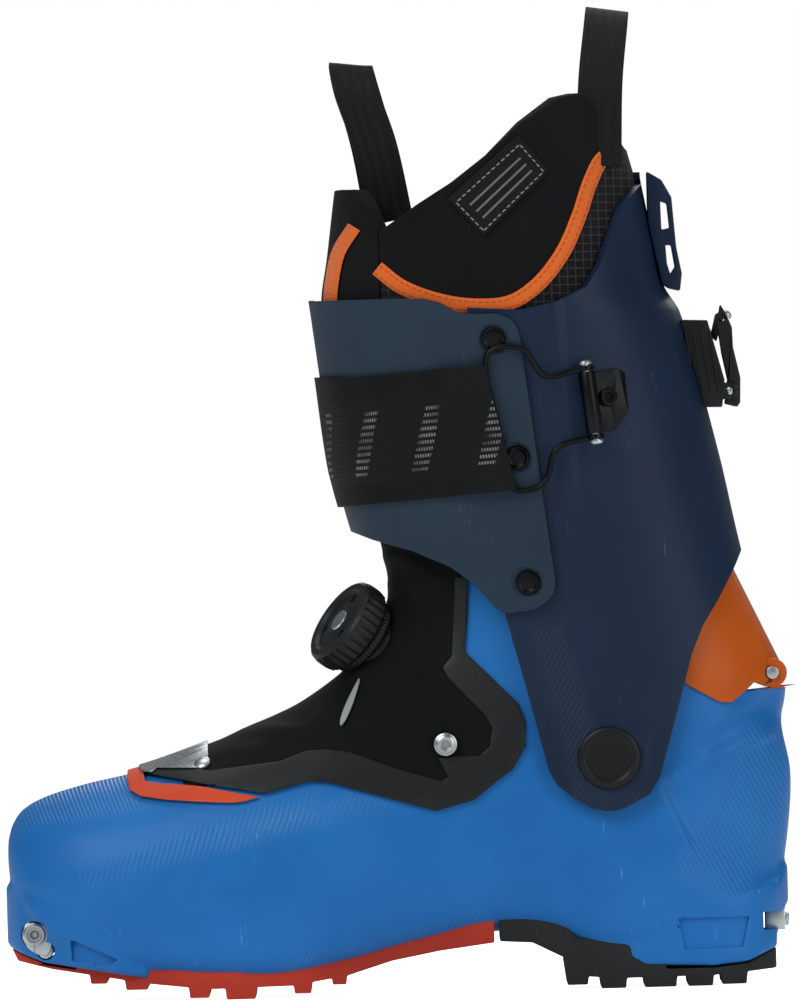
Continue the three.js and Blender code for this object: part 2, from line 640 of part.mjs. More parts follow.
function spine() {
  const plate = layer(SPINE_SLICES, -SPINE_WALL, 0, SPINE_OUTLINE);
  const ears = cut(pin(HEEL_HINGE, -16.2, 16.2, 5.4, 24), box(40, 80, -12.85, 12.85, 90, 130));
  const knuckleRoom = pin(HEEL_HINGE, -12.85, 12.85, 5.4, 24);
  const clearance = join(knuckleRoom, box(40, 66.5, -12.85, 12.85, 90, HEEL_HINGE.z));
  const shell = cut(footForm(GAP), sidePrism(COLLAR_EDGE.map(([x, z]) => [x, z + GAP])));
  const headRoom = join(pin(HEEL_HINGE, -30, -16.3, 2.8), pin(HEEL_HINGE, 16.3, 30, 2.8));
  return cut(join(plate, ears), clearance, shell, headRoom, pin(HEEL_HINGE, -30, 30, 1.65));
}

function spinePin() {
  const heads = [[-18, -16.6], [16.6, 18]].map(([low, high]) => pin(HEEL_HINGE, low, high, 2.4));
  return join(pin(HEEL_HINGE, -16.8, 16.8, 1.3, 12), ...heads);
}

// ---- Strap, bail and hook -----------------------------------------------------------------

const STRAP_OUTLINE = [
  [-125, 184], [-110, 184], [-93.5, 179.9], [-30.9, 184.5], [-41.1, 230.4], [-43.6, 230.8],
  [-88.1, 227.3], [-110, 228.7], [-125, 228.7],
];
const STRAP_END_SPLIT = [[-41, 170], [-54, 240], [0, 240], [0, 170]];
const STRAP_IN = 2 * GAP + FLAP_WALL;
const LOOP_THICKNESS = 4.8;
const BAIL_OFFSET = STRAP_IN + LOOP_THICKNESS / 2;
const BAIL_ROUTE = [
  [-4.8, 228.5], [-9.5, 227.6], [-16, 225.9], [-20.2, 226.3], [-28, 236.3], [-32.2, 237.3], [-38, 236.6],
  [-41, 234.4], [-41.6, 229], [-33.4, 186.8], [-31.6, 184.6], [-28, 184.3], [-23.2, 185.4], [-20.3, 188.4],
  [-17, 198.2], [-14, 200.5], [-7, 202.4], [-1.8, 203.3],
];
const HOOK_PIN = { top: [-5.2, 231.6], low: [-1.4, 200.2] };
const HOOK_PLATE = [[-7.5, 225.8], [6.8, 228.4], [9.6, 226.4], [10.6, 212.5], [5.5, 205.6], [-4.6, 204.6]];

function beside([x, z], offset) {
  return [x, -reach(CUFF_SLICES, Math.min(x, 20), z, offset), z];
}

// The hook's pin runs straight between two points beside the cuff.
function hookLine(t) {
  const [x, z] = [0, 1].map((i) => THREE.MathUtils.lerp(HOOK_PIN.low[i], HOOK_PIN.top[i], t));
  return [x, -reach(CUFF_SLICES, -3.3, 216, 4.6), z];
}

function hookPlate() {
  const plate = layer(CUFF_SLICES, GAP, GAP + 1.6, HOOK_PLATE, -FAR, 0);
  const barrel = cut(rod(hookLine(0.14), hookLine(0.86), 3.1, 20), sliceForm(CUFF_SLICES, GAP));
  return cut(join(plate, barrel), rod(hookLine(-0.2), hookLine(1.2), 1.75, 14), hookScrewHole());
}

function hookScrewHole() {
  return rod([3.2, -FAR, 217.7], [3.2, -30, 217.7], 1.9, 14);
}

function hookScrew() {
  const face = reach(CUFF_SLICES, 3.2, 217.7, GAP + 1.6) + 0.75;
  return screw([3.2, -face, 217.7], [0, -1, 0], 3.4, 1.4, 1.5, 5);
}

function hookPin() {
  const heads = [[0, 0.055], [0.945, 1]].map(([low, high]) => rod(hookLine(low), hookLine(high), 2.6));
  return join(rod(hookLine(0.02), hookLine(0.98), 1.4, 12), ...heads);
}

function bail() {
  const path = BAIL_ROUTE.map(([x, z]) => {
    const t = THREE.MathUtils.smoothstep(-x, 8, 26);
    return beside([x, z], THREE.MathUtils.lerp(4.6, BAIL_OFFSET, t));
  });
  const eyes = join(rod(hookLine(0.07), hookLine(0.128), 3, 16), rod(hookLine(0.872), hookLine(0.93), 3, 16));
  return cut(join(wire(path, 1, 28), eyes), rod(hookLine(-0.2), hookLine(1.2), 1.75, 14));
}

function strapEnd() {
  const band = layer(CUFF_SLICES, STRAP_IN, STRAP_IN + LOOP_THICKNESS, STRAP_OUTLINE, -FAR, 0);
  const channel = wire(BAIL_ROUTE.slice(6, 12).map((p) => beside(p, BAIL_OFFSET)), 1.65, 20);
  return cut(common(band, sidePrism(STRAP_END_SPLIT)), channel, rivetRoom(-1));
}

function strap() {
  const band = layer(CUFF_SLICES, STRAP_IN, STRAP_IN + STRAP_THICKNESS, STRAP_OUTLINE);
  const split = sidePrism(STRAP_END_SPLIT.map(([x, z]) => [x - 0.45, z]), -FAR, 0);
  return cut(band, split, rivetRoom(1), ...keeperHoles());
}

// The strap covers the middle rivet's head, so its back is hollowed there.
function rivetRoom(side) {
  const [x, z] = RIVETS[1];
  return pin({ x, z }, ...[0, side * (reach(CUFF_SLICES, x, z) + 4.75)].sort((a, b) => a - b), 4.8);
}

// The strap's inner end is held against the cuff by a plate with two rivets of its own.
const KEEPER_OUTLINE = [[-50, 189], [-41, 189], [-44, 226], [-53, 226]];
const KEEPER_STUDS = [[-46.2, 195], [-48.4, 220]];
const KEEPER_IN = STRAP_IN + STRAP_THICKNESS + GAP;

function keeperHoles() {
  return KEEPER_STUDS.map(([x, z]) => pin({ x, z }, 20, FAR, 1.9, 12));
}

function strapKeeper() {
  const studs = KEEPER_STUDS.map(([x, z]) => {
    const face = reach(CUFF_SLICES, x, z, KEEPER_IN + 1.2) + 0.3;
    return turned([[1.5, -11], [1.5, -1], [3.2, -1], [3.2, 0.4], [2.2, 1]], [x, face, z], [0, 1, 0]);
  });
  return join(layer(CUFF_SLICES, KEEPER_IN, KEEPER_IN + 1.2, KEEPER_OUTLINE, 0, FAR), ...studs);
}

// ---- Ski and walk lever -------------------------------------------------------------------

const HOUSING_OUTLINE = [[24, 246], [40.9, 245.3], [46.7, 223.1], [45.6, 213.1], [24, 213.6]];
const HOUSING_STUDS = [[-10.8, 233], [10.8, 233]]; // y and z of the studs that pass through the cuff
const LEVER_OUTLINE = [
  [45.9, 251], [48.1, 247.2], [50, 242.3], [50.2, 235], [52.6, 223.7], [52.3, 214.6], [51.2, 213],
  [46.6, 214.2], [47.9, 223.1], [46, 232.8], [44.6, 244],
];

function leverHousing() {
  const block = cut(sidePrism(HOUSING_OUTLINE, -14, 14), sliceForm(CUFF_SLICES, GAP));
  const ears = join(pin(LEVER_HINGE, -14, -11.4, 3), pin(LEVER_HINGE, 11.4, 14, 3));
  const earWeb = (low, high) => box(42, LEVER_HINGE.x, low, high, 216, 222);
  const channel = join(box(20, 60, -7.4, 7.4, 222, 250), box(36, 45, -4.4, 4.4, 200, 230));
  const leverRoom = pin(LEVER_HINGE, -11.35, 11.35, 7);
  const studs = HOUSING_STUDS.map(([y, z]) => rod([31.6, y, z], [38, y, z], 1.5));
  const eared = join(cut(block, leverRoom), ears, earWeb(-14, -11.4), earWeb(11.4, 14));
  return join(cut(eared, channel, pin(LEVER_HINGE, -30, 30, 1.35, 12)), ...studs);
}

function lockBar() {
  const bar = sidePrism([[40.6, 222.5], [43.6, 222.5], [40.4, 236], [37.4, 236]], -6.9, 6.9);
  const tongue = sidePrism([[41.4, 214.6], [44.2, 214.6], [42.6, 224], [40.6, 224]], -3.9, 3.9);
  return join(bar, tongue);
}

function leverLatch() {
  const tab = sidePrism([[44, 247.4], [46.4, 248.8], [47, 245.8], [44.2, 237.4], [42, 239.4]], -6.2, 6.2);
  return join(tab, pin(LATCH_HINGE, -11, 11, 1, 10));
}

function lever() {
  const body = sidePrism(LEVER_OUTLINE, -11, 11);
  const inner = sidePrism([[40, 255], [47.4, 251.6], [48, 243], [48.3, 234], [50, 226], [40, 226]], -8.4, 8.4);
  const rearEdge = HOUSING_OUTLINE.map(([x, z]) => [x + 0.45, z]);
  const holes = [LEVER_HINGE, LATCH_HINGE].map((hinge) => pin(hinge, -30, 30, 1.35, 12));
  return cut(body, inner, sidePrism(rearEdge, -15, 15), ...holes);
}

// ---- Liner collar and its pull loops ------------------------------------------------------

const COLLAR_TOP = [
  [-79, 281], [-66, 290], [-52.6, 298.1], [-26.1, 319.6], [-3.5, 330.1], [14.4, 309.2], [30, 296],
];
const TONGUE_TOP = [[-90, 298.4], [-97.4, 284.5], [-104, 272]];
const TONGUE_REAR = -79.5;
const LABEL_OUTLINE = [[-51, 289.5], [-27.3, 310], [-16.2, 301.5], [-40.9, 278.2]];
const PIPING_LINE = [
  [-78.5, 267], [-72.1, 260.6], [-60.1, 257.5], [-46.1, 255.8], [-31.6, 255.8], [-22.2, 259.2], [-12.2, 271.1],
  [-5.5, 285.1], [-1.1, 297.2], [0.6, 301],
];

function linerCuff() {
  const outline = [[TONGUE_REAR, 281], ...COLLAR_TOP.slice(1), [44, 296], [44, 196], [TONGUE_REAR, 203]];
  return layer(LINER_SLICES, -LINER_WALL, 0, outline);
}

function linerTongue() {
  const side = [[TONGUE_REAR - GAP, 281], ...TONGUE_TOP, [-110, 240], [-110, 208], [TONGUE_REAR - GAP, 203]];
  return common(cut(sliceForm(LINER_SLICES, 0), sliceForm(LINER_SLICES, -LINER_WALL)), sidePrism(side));
}

// The piping runs along a line of the side view, on the liner's face.
function piping(side) {
  const line = smooth(PIPING_LINE, 16);
  const path = line.map(([x, z]) => [x, side * (reach(LINER_SLICES, x, z) + 1.05), z]);
  return cut(webbing(path, [0, 0.12 * side, 1], 5.6, 1.3, 16), sliceForm(LINER_SLICES, GAP));
}

function label() {
  return layer(LINER_SLICES, GAP, GAP + 0.6, LABEL_OUTLINE, -FAR, 0);
}

function frontLoop() {
  const route = [
    [-74.5, -15, 285], [-80, -14, 313], [-87, -8.5, 335], [-88.3, -2.5, 342.8], [-86.6, 4, 336], [-81, 10, 314],
    [-77, 12, 290],
  ];
  return webbing(route, [1, 0, -0.12], 16, 1.6, 18);
}

function rearLoop() {
  const base = (side) => [2.6, side * (reach(LINER_SLICES, 2.6, 306) + 1.7), 306];
  const route = [base(-1), [4, -26, 335], [6.4, -12, 355], [7.1, 0, 360.6], [6.4, 12, 355], [4, 26, 335], base(1)];
  return cut(webbing(route, [1, 0, -0.15], 16, 1.6, 20), sliceForm(LINER_SLICES, GAP));
}

// ---- Build --------------------------------------------------------------------------------

place("lower_shell", lowerShell(), BLUE, PLASTIC);
place("front_sole", sole(FRONT_TREAD, FRONT_LUGS, [box(-160, -90, -4, 4, -5, 3.5)]), RED, RUBBER);
place("heel_sole", sole(HEEL_TREAD, HEEL_LUGS, [box(9, 55, -4, 4, -5, 3.5)]), BLACK, RUBBER);
place("toe_insert", toeInsert(), STEEL, METAL);
place("heel_insert", heelInsert(), STEEL, METAL);
place("boot_board", bootBoard(), GREY, PLASTIC);
place("liner_foot", linerFoot(), BLACK, FABRIC);
place("foot_bed", footBed(), GREY, FABRIC);
const { trim, plate, frameOuter, frameInner, fabric } = gaiterZones();
place("gaiter_fabric", fabric, BLACK, FABRIC);
place("gaiter_frame_outer", frameOuter, SLATE, RUBBER);
place("gaiter_frame_inner", frameInner, SLATE, RUBBER);
place("toe_trim", trim, ORANGE, PLASTIC);
place("toe_plate", plate, STEEL, METAL);
place("heel_insert_screw", screw([63.9, 0, 23.4], [1, 0, 0], 2.6, 1.2, 1.15, 7), STEEL, METAL);
place("dial_base", dialBase(), BLACK, PLASTIC);
place("dial_bezel", dialBezel(), BLACK, PLASTIC);
place("dial_spindle", dialSpindle(), STEEL, METAL);
place("dial_knob", dialKnob(), BLACK, PLASTIC);
place("dial_tab", dialTab(), GREY, FABRIC);
place("rear_cuff", rearCuff(), NAVY, PLASTIC);
place("front_flap", frontFlap(), SLATE, PLASTIC);
place("rear_spoiler", rearSpoiler(), NAVY, PLASTIC);
place("spine", spine(), ORANGE, PLASTIC);
place("spine_pin", spinePin(), STEEL, METAL);
for (const [side, word] of [[-1, "outer"], [1, "inner"]]) {
  place(`ankle_sleeve_${word}`, ankleRing(side, 4.2, 6, 34.9, 38.1), STEEL, METAL);
  place(`ankle_bush_${word}`, ankleRing(side, 4.2, 7.75, 38.55, 42.3), GREY, PLASTIC);
  place(`ankle_bolt_${word}`, ankleBolt(side), BLACK, PLASTIC);
  place(`lace_${word}`, lace(side), STEEL, METAL);
  place(`lace_screw_${word}`, laceScrew(side), STEEL, METAL);
  place(`piping_${word}`, piping(side), ORANGE, FABRIC);
  RIVETS.forEach((rivet, i) => place(`flap_rivet_${word}_${i + 1}`, flapRivet(rivet, side), BLACK, METAL));
}
place("hook_plate", hookPlate(), BLACK, METAL);
place("hook_screw", hookScrew(), BLACK, METAL);
place("hook_pin", hookPin(), STEEL, METAL);
place("bail", bail(), BLACK, METAL);
place("strap", strap(), BLACK, FABRIC);
place("strap_end", strapEnd(), BLACK, FABRIC);
place("strap_keeper", strapKeeper(), BLACK, METAL);
place("lever_housing", leverHousing(), BLACK, PLASTIC);
place("lock_bar", lockBar(), STEEL, METAL);
place("lever", lever(), BLACK, PLASTIC);
place("lever_pin", pin(LEVER_HINGE, -14, 14, 1, 12), STEEL, METAL);
place("lever_latch", leverLatch(), BLACK, PLASTIC);
place("liner_cuff", linerCuff(), BLACK, FABRIC);
place("liner_tongue", linerTongue(), BLACK, FABRIC);
place("liner_label", label(), BLACK, FABRIC);
place("pull_loop_front", frontLoop(), BLACK, FABRIC);
place("pull_loop_rear", rearLoop(), BLACK, FABRIC);

export default boot;
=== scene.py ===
import math

import bmesh
import bpy
import numpy as np
from mathutils import Matrix, Vector, noise


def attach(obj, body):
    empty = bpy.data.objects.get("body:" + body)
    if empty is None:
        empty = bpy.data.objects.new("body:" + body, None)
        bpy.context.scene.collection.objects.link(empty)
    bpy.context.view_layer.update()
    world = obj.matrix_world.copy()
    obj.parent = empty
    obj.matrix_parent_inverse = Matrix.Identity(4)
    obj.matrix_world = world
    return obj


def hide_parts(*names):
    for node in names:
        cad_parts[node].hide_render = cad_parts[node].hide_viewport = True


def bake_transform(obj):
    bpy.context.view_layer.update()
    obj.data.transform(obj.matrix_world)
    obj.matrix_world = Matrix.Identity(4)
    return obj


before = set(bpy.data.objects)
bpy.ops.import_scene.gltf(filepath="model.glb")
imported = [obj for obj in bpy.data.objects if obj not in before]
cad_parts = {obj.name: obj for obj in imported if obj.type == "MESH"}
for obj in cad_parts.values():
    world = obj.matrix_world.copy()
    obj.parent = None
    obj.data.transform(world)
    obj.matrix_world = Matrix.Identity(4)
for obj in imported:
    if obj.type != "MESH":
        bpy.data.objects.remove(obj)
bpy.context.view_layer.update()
bpy.ops.object.select_all(action="DESELECT")

# ---- Stage --------------------------------------------------------------------------------
# A level camera far out on the boot's outer side, a plain pale floor, and four soft boxes
# in a dim room. The camera leans a little, so the boot stands a little toe down in the frame.
CAMERA_PLACE = (-0.0751, -8.22, 0.182)
CAMERA_LEAN = 1.58
camera = bpy.data.objects.new("camera", bpy.data.cameras.new("camera"))
camera.data.lens = 800
camera.data.sensor_width = 36
camera.matrix_world = (
    Matrix.Translation(CAMERA_PLACE)
    @ Matrix.Rotation(math.radians(CAMERA_LEAN), 4, "Y")
    @ Matrix.Rotation(math.radians(90), 4, "X")
)
scene = bpy.context.scene
scene.collection.objects.link(camera)
scene.camera = camera
scene.view_settings.view_transform = "Standard"


def softbox(name, place, width, height, watts):
    """A rectangular light that faces the middle of the boot."""
    lamp = bpy.data.lights.new(name, "AREA")
    lamp.shape = "RECTANGLE"
    lamp.size = width
    lamp.size_y = height
    lamp.energy = watts
    holder = bpy.data.objects.new(name, lamp)
    holder.location = place
    aim = Vector((-0.06, 0, 0.16)) - Vector(place)
    holder.rotation_euler = aim.to_track_quat("-Z", "Y").to_euler()
    scene.collection.objects.link(holder)


softbox("key_light", (-1.1, -1.5, 1.5), 1.2, 1.2, 21)
softbox("fill_light", (1.4, -1.5, 0.8), 0.9, 1.4, 10)
softbox("top_light", (0.0, 0.3, 1.9), 1.6, 1.0, 13)
softbox("back_light", (0.4, 1.9, 1.2), 1.5, 1.2, 12)

world = bpy.data.worlds.new("studio")
world.use_nodes = True
scene.world = world
room = world.node_tree
seen = room.nodes.new("ShaderNodeBackground")
seen.inputs["Color"].default_value = (1, 1, 1, 1)
lit = room.nodes["Background"]
lit.inputs["Color"].default_value = (0.93, 0.96, 1, 1)
lit.inputs["Strength"].default_value = 0.15
rays = room.nodes.new("ShaderNodeLightPath")
choose = room.nodes.new("ShaderNodeMixShader")
room.links.new(rays.outputs["Is Camera Ray"], choose.inputs["Fac"])
room.links.new(lit.outputs["Background"], choose.inputs[1])
room.links.new(seen.outputs["Background"], choose.inputs[2])
room.links.new(choose.outputs["Shader"], room.nodes["World Output"].inputs["Surface"])

bpy.ops.mesh.primitive_circle_add(vertices=96, radius=8, fill_type="NGON", location=(0, 0, 0))
floor = bpy.context.object
floor.name = "studio_floor"
paper = bpy.data.materials.new("floor_paper")
paper.use_nodes = True
paper_shader = paper.node_tree.nodes["Principled BSDF"]
paper_shader.inputs["Base Color"].default_value = (0.93, 0.93, 0.93, 1)
paper_shader.inputs["Roughness"].default_value = 0.9
paper_shader.inputs["Specular IOR Level"].default_value = 0.1
paper_shader.inputs["Emission Color"].default_value = (1, 1, 1, 1)
paper_rays = paper.node_tree.nodes.new("ShaderNodeLightPath")
paper_glow = paper.node_tree.nodes.new("ShaderNodeMath")
paper_glow.operation = "MULTIPLY_ADD"
paper_glow.inputs[1].default_value = 0.85
paper_glow.inputs[2].default_value = 0.1
paper.node_tree.links.new(paper_rays.outputs["Is Camera Ray"], paper_glow.inputs[0])
paper.node_tree.links.new(paper_glow.outputs[0], paper_shader.inputs["Emission Strength"])
floor.data.materials.append(paper)

# ---- Lower shell --------------------------------------------------------------------------
# The foot's hard shell, injection moulded in blue polyamide with a satin skin and fields of fine
# moulded ribs. It has a ledge at the toe and one at the heel for bindings and crampons.
MM = 0.001


def curve_at(places, values, at):
    """A smooth curve through values at rising places."""
    places, values = np.asarray(places, float), np.asarray(values, float)
    slope = np.gradient(values, places)
    i = np.clip(np.searchsorted(places, at, side="right") - 1, 0, len(places) - 2)
    step = places[i + 1] - places[i]
    t = np.clip((at - places[i]) / step, 0, 1)
    rise = t * t * (3 - 2 * t)
    bend = step * (t * (1 - t) ** 2 * slope[i] - t * t * (1 - t) * slope[i + 1])
    return values[i] * (1 - rise) + values[i + 1] * rise + bend


# Ribs of the foot: upper x and z, lower x and z, half width, and the squareness of the lower half.
FOOT_RIBS = np.array([
    [-222.6, 60, -222.8, 52, 10, 2.2], [-220.8, 66, -221.8, 42, 21, 2.6],
    [-216.7, 71.5, -218.7, 32, 29.5, 3.2], [-208.2, 76, -211.2, 20, 37.5, 4],
    [-193.2, 80.3, -195.2, 12.8, 45, 5], [-173.2, 84.5, -172.2, 9.2, 49.5, 6],
    [-151.2, 91.5, -148.2, 6.8, 51.5, 6.5], [-130.2, 99.5, -123.2, 6.3, 50.5, 6.5],
    [-112.2, 108, -98.2, 10.6, 47, 6], [-98.2, 117.5, -71.2, 16.8, 42.5, 5.5],
    [-87.2, 129.5, -43.2, 21.8, 39.5, 5], [-81.2, 140, -21.2, 18.8, 38, 4.6],
    [-78.7, 148, 2.8, 8.6, 37.5, 4.4], [-79.2, 155, 31.8, 7.4, 37, 4],
    [-80.2, 161, 54.8, 11, 36.5, 3.2], [-81.2, 166, 61.3, 32, 36, 2.4],
    [-82.2, 171, 65.8, 57, 35.5, 2.3], [-83.2, 176, 67.2, 78, 35, 2.3],
    [-83.2, 182, 64.3, 96, 35, 2.3], [-83.2, 190, 66.3, 110, 35, 2.3],
    [-84.2, 215, 66.8, 150, 36, 2.3],
])
UPPER_SQUARENESS = 2.25
WIDEST_AT = 0.42


def foot_point(place, degrees, grow):
    """Points on the foot's form. Degrees run from a rib's top, and below zero is the outer side."""
    columns = [curve_at(np.arange(len(FOOT_RIBS)), column, place) for column in FOOT_RIBS.T]
    top_x, top_z, low_x, low_z, half, low_squareness = columns
    up_x, up_z = top_x - low_x, top_z - low_z
    height = np.hypot(up_x, up_z)
    c, s = np.cos(np.radians(degrees)), np.sin(np.radians(degrees))
    power = np.where(c > 0, UPPER_SQUARENESS, low_squareness)
    radius = (np.abs(c) ** power + np.abs(s) ** power) ** (-1 / power)
    rise = radius * c
    at = (height + 2 * grow) * (WIDEST_AT + rise * np.where(rise > 0, 1 - WIDEST_AT, WIDEST_AT)) - grow
    across = (half + grow) * radius * s
    return np.stack([low_x + up_x / height * at, across, low_z + up_z / height * at], axis=-1)


def mesh_object(name, points, faces, uv=None):
    """A mesh object from points in millimetres."""
    mesh = bpy.data.meshes.new(name)
    mesh.from_pydata((np.asarray(points, float) * MM).tolist(), [], faces)
    if uv is not None:
        layer = mesh.uv_layers.new(name="flat")
        corners = np.array([loop.vertex_index for loop in mesh.loops])
        layer.data.foreach_set("uv", np.asarray(uv, float)[corners].ravel())
    made = bpy.data.objects.new(name, mesh)
    scene.collection.objects.link(made)
    return made


def grid_faces(rows, columns, first=0, closed=False):
    wide = columns if closed else columns - 1
    return [
        (first + i * columns + j, first + i * columns + (j + 1) % columns,
         first + (i + 1) * columns + (j + 1) % columns, first + (i + 1) * columns + j)
        for i in range(rows - 1) for j in range(wide)
    ]


def outward(made):
    """Turns a closed mesh's faces outwards after its doubles are merged."""
    shape = bmesh.new()
    shape.from_mesh(made.data)
    bmesh.ops.remove_doubles(shape, verts=shape.verts, dist=0.00001)
    bmesh.ops.recalc_face_normals(shape, faces=shape.faces)
    shape.to_mesh(made.data)
    shape.free()
    return made


def tube_solid(name, rings):
    """A closed skin over rings with the same number of points, with a fan at each end."""
    rows, columns = rings.shape[:2]
    points = np.concatenate([rings.reshape(-1, 3), [rings[0].mean(0)], [rings[-1].mean(0)]])
    faces = grid_faces(rows, columns, closed=True)
    last = (rows - 1) * columns
    for j in range(columns):
        faces.append((rows * columns, (j + 1) % columns, j))
        faces.append((rows * columns + 1, last + j, last + (j + 1) % columns))
    return outward(mesh_object(name, points, faces))


def prism(name, outline, low, high, view="side"):
    """A prism across the boot from a side view, or an upright one from a plan."""
    count = len(outline)
    lift = (lambda p, d: (p[0], d, p[1])) if view == "side" else (lambda p, d: (p[0], p[1], d))
    points = [lift(p, d) for d in (low, high) for p in outline]
    walls = [(i, (i + 1) % count, count + (i + 1) % count, count + i) for i in range(count)]
    faces = [tuple(range(count)), tuple(range(2 * count - 1, count - 1, -1))] + walls
    return outward(mesh_object(name, points, faces))


def use(made, kind, **settings):
    """Adds one modifier to a piece and applies it."""
    modifier = made.modifiers.new(kind.lower(), kind)
    for key, value in settings.items():
        setattr(modifier, key, value)
    bpy.context.view_layer.objects.active = made
    bpy.ops.object.modifier_apply(modifier=modifier.name)
    return made


def carve(made, tool, operation="DIFFERENCE"):
    """Cuts a piece with a tool, joins them or keeps what they share, and takes the tool away."""
    use(made, "BOOLEAN", object=tool, operation=operation, solver="MANIFOLD")
    bpy.data.objects.remove(tool)
    return made


def soften(made, width, angle=35, segments=2, merge=0.0):
    """Rounds a piece's edges and shades it smooth."""
    if merge:
        shape = bmesh.new()
        shape.from_mesh(made.data)
        bmesh.ops.remove_doubles(shape, verts=shape.verts, dist=merge * MM)
        bmesh.ops.dissolve_limit(shape, angle_limit=math.radians(0.5), verts=shape.verts, edges=shape.edges)
        shape.to_mesh(made.data)
        shape.free()
    if width:
        use(
            made, "BEVEL", width=width * MM, segments=segments, limit_method="ANGLE",
            angle_limit=math.radians(angle), use_clamp_overlap=not merge,
        )
    return smooth(made, angle)


def smooth(made, angle=35):
    bpy.ops.object.select_all(action="DESELECT")
    made.select_set(True)
    bpy.context.view_layer.objects.active = made
    bpy.ops.object.shade_smooth_by_angle(angle=math.radians(angle))
    made.select_set(False)
    return made


def rounded_line(points, count, closed=False):
    """A smooth line through points, with evenly spaced steps."""
    points = np.asarray(points, float)
    if closed:
        points = np.concatenate([points[-2:], points, points[:3]])
    run = np.concatenate([[0], np.cumsum(np.linalg.norm(np.diff(points, axis=0), axis=1) ** 0.75)])
    span = (run[2], run[-3]) if closed else (0, run[-1])
    at = np.linspace(*span, count + 1)[:-1] if closed else np.linspace(*span, count)
    return np.stack([curve_at(run, column, at) for column in points.T], axis=-1)


def round_bar(name, x, z, y_low, y_high, radius, sides=48):
    """A bar across the boot."""
    turns = np.linspace(0, 2 * math.pi, sides, endpoint=False)
    return prism(name, [(x + radius * math.cos(t), z + radius * math.sin(t)) for t in turns], y_low, y_high)


def within(x, z, outline, blur):
    """1 inside an outline of the side view and 0 outside, over a blurred edge."""
    outline = np.asarray(outline, float)
    nearest = np.full(np.shape(x), 1e9)
    inside = np.zeros(np.shape(x), bool)
    for (ax, az), (bx, bz) in zip(outline, np.roll(outline, -1, axis=0)):
        run = np.clip(
            ((x - ax) * (bx - ax) + (z - az) * (bz - az)) / ((bx - ax) ** 2 + (bz - az) ** 2), 0, 1
        )
        nearest = np.minimum(nearest, np.hypot(x - ax - run * (bx - ax), z - az - run * (bz - az)))
        crosses = (az > z) != (bz > z)
        inside ^= crosses & (x < (bx - ax) * (z - az) / (bz - az + 1e-9) + ax)
    t = np.clip(0.5 + np.where(inside, nearest, -nearest) / (2 * blur), 0, 1)
    return t * t * (3 - 2 * t)


HEEL_SLOT = [(33, 83.5), (36, 89.5), (60, 107.5), (63.5, 107), (62.5, 99), (59, 97)]
COUNTER_PANEL = [(19, 74.5), (40, 83), (72, 95), (72, 44), (47, 39), (31, 48)]
COUNTER_LIP = [(15, 75), (19, 78.5), (40, 87), (72, 99), (72, 95), (40, 83), (19, 74.5), (31, 48), (27, 50)]
TOE_CREASE = [(-219, 41), (-205, 33), (-183, 21), (-168, 17), (-180, 25), (-203, 37), (-217, 44)]


def shell_relief(x, z):
    """What the moulding stands out or in, in millimetres, on the sides of the shell."""
    return (
        1.0 * within(x, z, COUNTER_LIP, 1.6) - 0.7 * within(x, z, COUNTER_PANEL, 1.2)
        - 1.3 * within(x, z, HEEL_SLOT, 1.2) - 1.0 * within(x, z, TOE_CREASE, 2.0)
    )


places, degrees = np.meshgrid(np.linspace(0, 20, 241), np.arange(0, 360, 1.8), indexing="ij")
bare = foot_point(places, degrees, 0)
on_side = np.clip((np.abs(np.sin(np.radians(degrees))) - 0.25) * 5, 0, 1)
lower_shell = tube_solid(
    "shell_lower", foot_point(places, degrees, shell_relief(bare[..., 0], bare[..., 2]) * on_side)
)

TOE_LEDGE_PLAN = [
    (-172, -44), (-181, -45.5), (-190, -44.3), (-199, -40.5), (-205, -36), (-210, -33), (-217.5, -29),
    (-222.3, -19), (-223.8, 0), (-222.3, 19), (-217.5, 29), (-210, 33), (-205, 36), (-199, 40.5),
    (-190, 44.3), (-181, 45.5), (-172, 44),
]
TOE_LEDGE_SIDE = [
    (-228, 24), (-219.9, 19.4), (-210, 15.2), (-172, 8.6), (-172, 13), (-190, 25), (-204, 35), (-214.5, 42),
    (-228, 44),
]
HEEL_LEDGE_PLAN = [
    (-14, -30), (4, -31.8), (19, -33.2), (41, -32.4), (51, -29), (58.5, -22), (63.5, -11), (65.2, 0),
    (63.5, 11), (58.5, 22), (51, 29), (41, 32.4), (19, 33.2), (4, 31.8), (-14, 30),
]
HEEL_LEDGE_SIDE = [
    (-14, 19), (0, 11), (12, 8.2), (37, 7.4), (49.4, 8.6), (60.3, 13.6), (60.5, 20), (63.6, 22), (63.6, 29),
    (70, 30), (70, 43.4), (64.4, 43.4), (62, 39), (57, 36), (37, 32), (19, 30), (-14, 29),
]
for plan, side in ((TOE_LEDGE_PLAN, TOE_LEDGE_SIDE), (HEEL_LEDGE_PLAN, HEEL_LEDGE_SIDE)):
    ledge = prism("ledge", rounded_line(plan, 70), 0, 60, "plan")
    carve(ledge, prism("side", side, -90, 90), "INTERSECT")
    carve(lower_shell, outward(ledge), "UNION")
SHELL_VOXEL = 1.25
use(lower_shell, "REMESH", mode="VOXEL", voxel_size=SHELL_VOXEL * MM)
use(lower_shell, "SMOOTH", factor=0.5, iterations=5)

ANKLE_HEIGHT = 85
for bar in ((0, ANKLE_HEIGHT, 38.2, 10), (61.3, 114.5, 12.5, 4.6)):
    carve(lower_shell, round_bar("boss", bar[0], bar[1], -bar[2], bar[2], bar[3]), "UNION")

